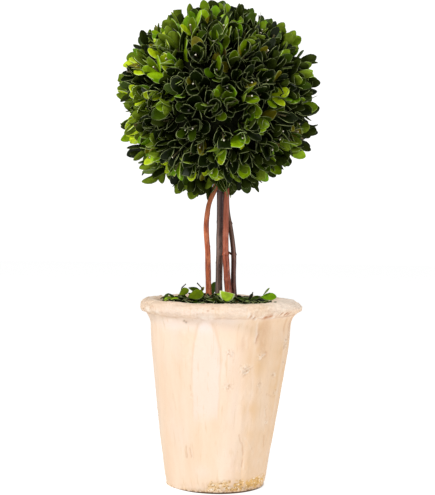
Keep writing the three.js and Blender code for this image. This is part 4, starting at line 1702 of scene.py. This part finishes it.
studio = {
    "floorRadius": 6.0,  # metres, as are the next places
    "floorSides": 96,
    "floorDrop": 0.00005,  # just under the pot
    "aim": (0, 0, 0.25),
    "lamps": [
        {"name": "key", "place": (-1.3, -1.5, 1.9), "size": 0.6, "watts": 44},
        {"name": "fill", "place": (1.9, -1.5, 0.7), "size": 1.0, "watts": 17},
    ],
    "roomLight": 0.45,
    "backdropLight": 1.12,
    "floorGlow": 0.8,
    "footShade": 0.0504,  # no glow nearer the pot's middle than this
    "footFade": 0.0032,
    "shadeStretch": (1.08, 0.95, 1),  # so that the dark line shows in front of the foot, not beside it
    "shadeShift": (-0.0022, 0, 0),  # and more of it to the right
}
shot = {
    "place": (0, -1.35, 0.28),
    "target": (-0.00015, 0, 0.2436),
    "lens": 95.34,
    "sensor": 36,
    "farthest": 100,
    "rollDegrees": 0.7,
}


def makeFloor():
    # a flat disc that glows white all over, apart from a brown shade close round the pot's foot
    ring = np.arange(studio["floorSides"]) / studio["floorSides"] * 2 * pi
    reach, drop = studio["floorRadius"] / mm, studio["floorDrop"] / mm
    edge = np.stack([np.cos(ring) * reach, np.sin(ring) * reach, 0 * ring - drop], axis=1)
    look = Look("paleFloor", Roughness=0.9, Specular_IOR_Level=0.0, Emission_Strength=studio["floorGlow"])
    middle = look.objectPlace(studio["shadeStretch"], studio["shadeShift"])
    away = look.node("ShaderNodeVectorMath", {"operation": "LENGTH"}, {0: middle}, output="Value")
    clear = (away - studio["footShade"]) / studio["footFade"]
    glow = look.mix(look.ramp(clear, (0, 0), (1, 1)), (0, 0, 0), (1, 1, 1))
    plain = look.mix(look.noise(30, 3, 0.5) * 0.3, (0.42, 0.42, 0.42), (0.4, 0.4, 0.4))
    shaded = look.mix(look.ramp(clear, (0, 1), (1, 0)), plain, (0.10, 0.055, 0.03))
    look.paint(Base_Color=shaded, Emission_Color=glow)
    return putMesh("floor", edge, [np.arange(studio["floorSides"])[None, :]], [look])


def turnTo(place, target):
    # rotation that looks from place to target with up kept upright
    return (Vector(target) - Vector(place)).to_track_quat("-Z", "Y").to_euler()


makeFloor()
for lamp in studio["lamps"]:
    lampData = bpy.data.lights.new(lamp["name"], "AREA")
    lampData.energy = lamp["watts"]
    lampData.size = lamp["size"]
    placed = bpy.data.objects.new(lamp["name"], lampData)
    placed.location = lamp["place"]
    placed.rotation_euler = turnTo(lamp["place"], studio["aim"])
    bpy.context.scene.collection.objects.link(placed)

world = Look("studio", bpy.data.worlds.new("studio"), "Background", Color=(1, 1, 1, 1))
seen = world.node("ShaderNodeLightPath", output="Is Camera Ray")
world.paint(Strength=studio["roomLight"] + seen * (studio["backdropLight"] - studio["roomLight"]))
bpy.context.scene.world = world.material
bpy.context.scene.view_settings.view_transform = "Standard"

cameraData = bpy.data.cameras.new("camera")
cameraData.lens = shot["lens"]
cameraData.sensor_width = shot["sensor"]
cameraData.clip_end = shot["farthest"]
camera = bpy.data.objects.new("camera", cameraData)
camera.location = shot["place"]
camera.rotation_euler = turnTo(shot["place"], shot["target"])
camera.rotation_euler.rotate_axis("Z", radians(shot["rollDegrees"]))
bpy.context.scene.collection.objects.link(camera)
bpy.context.scene.camera = camera
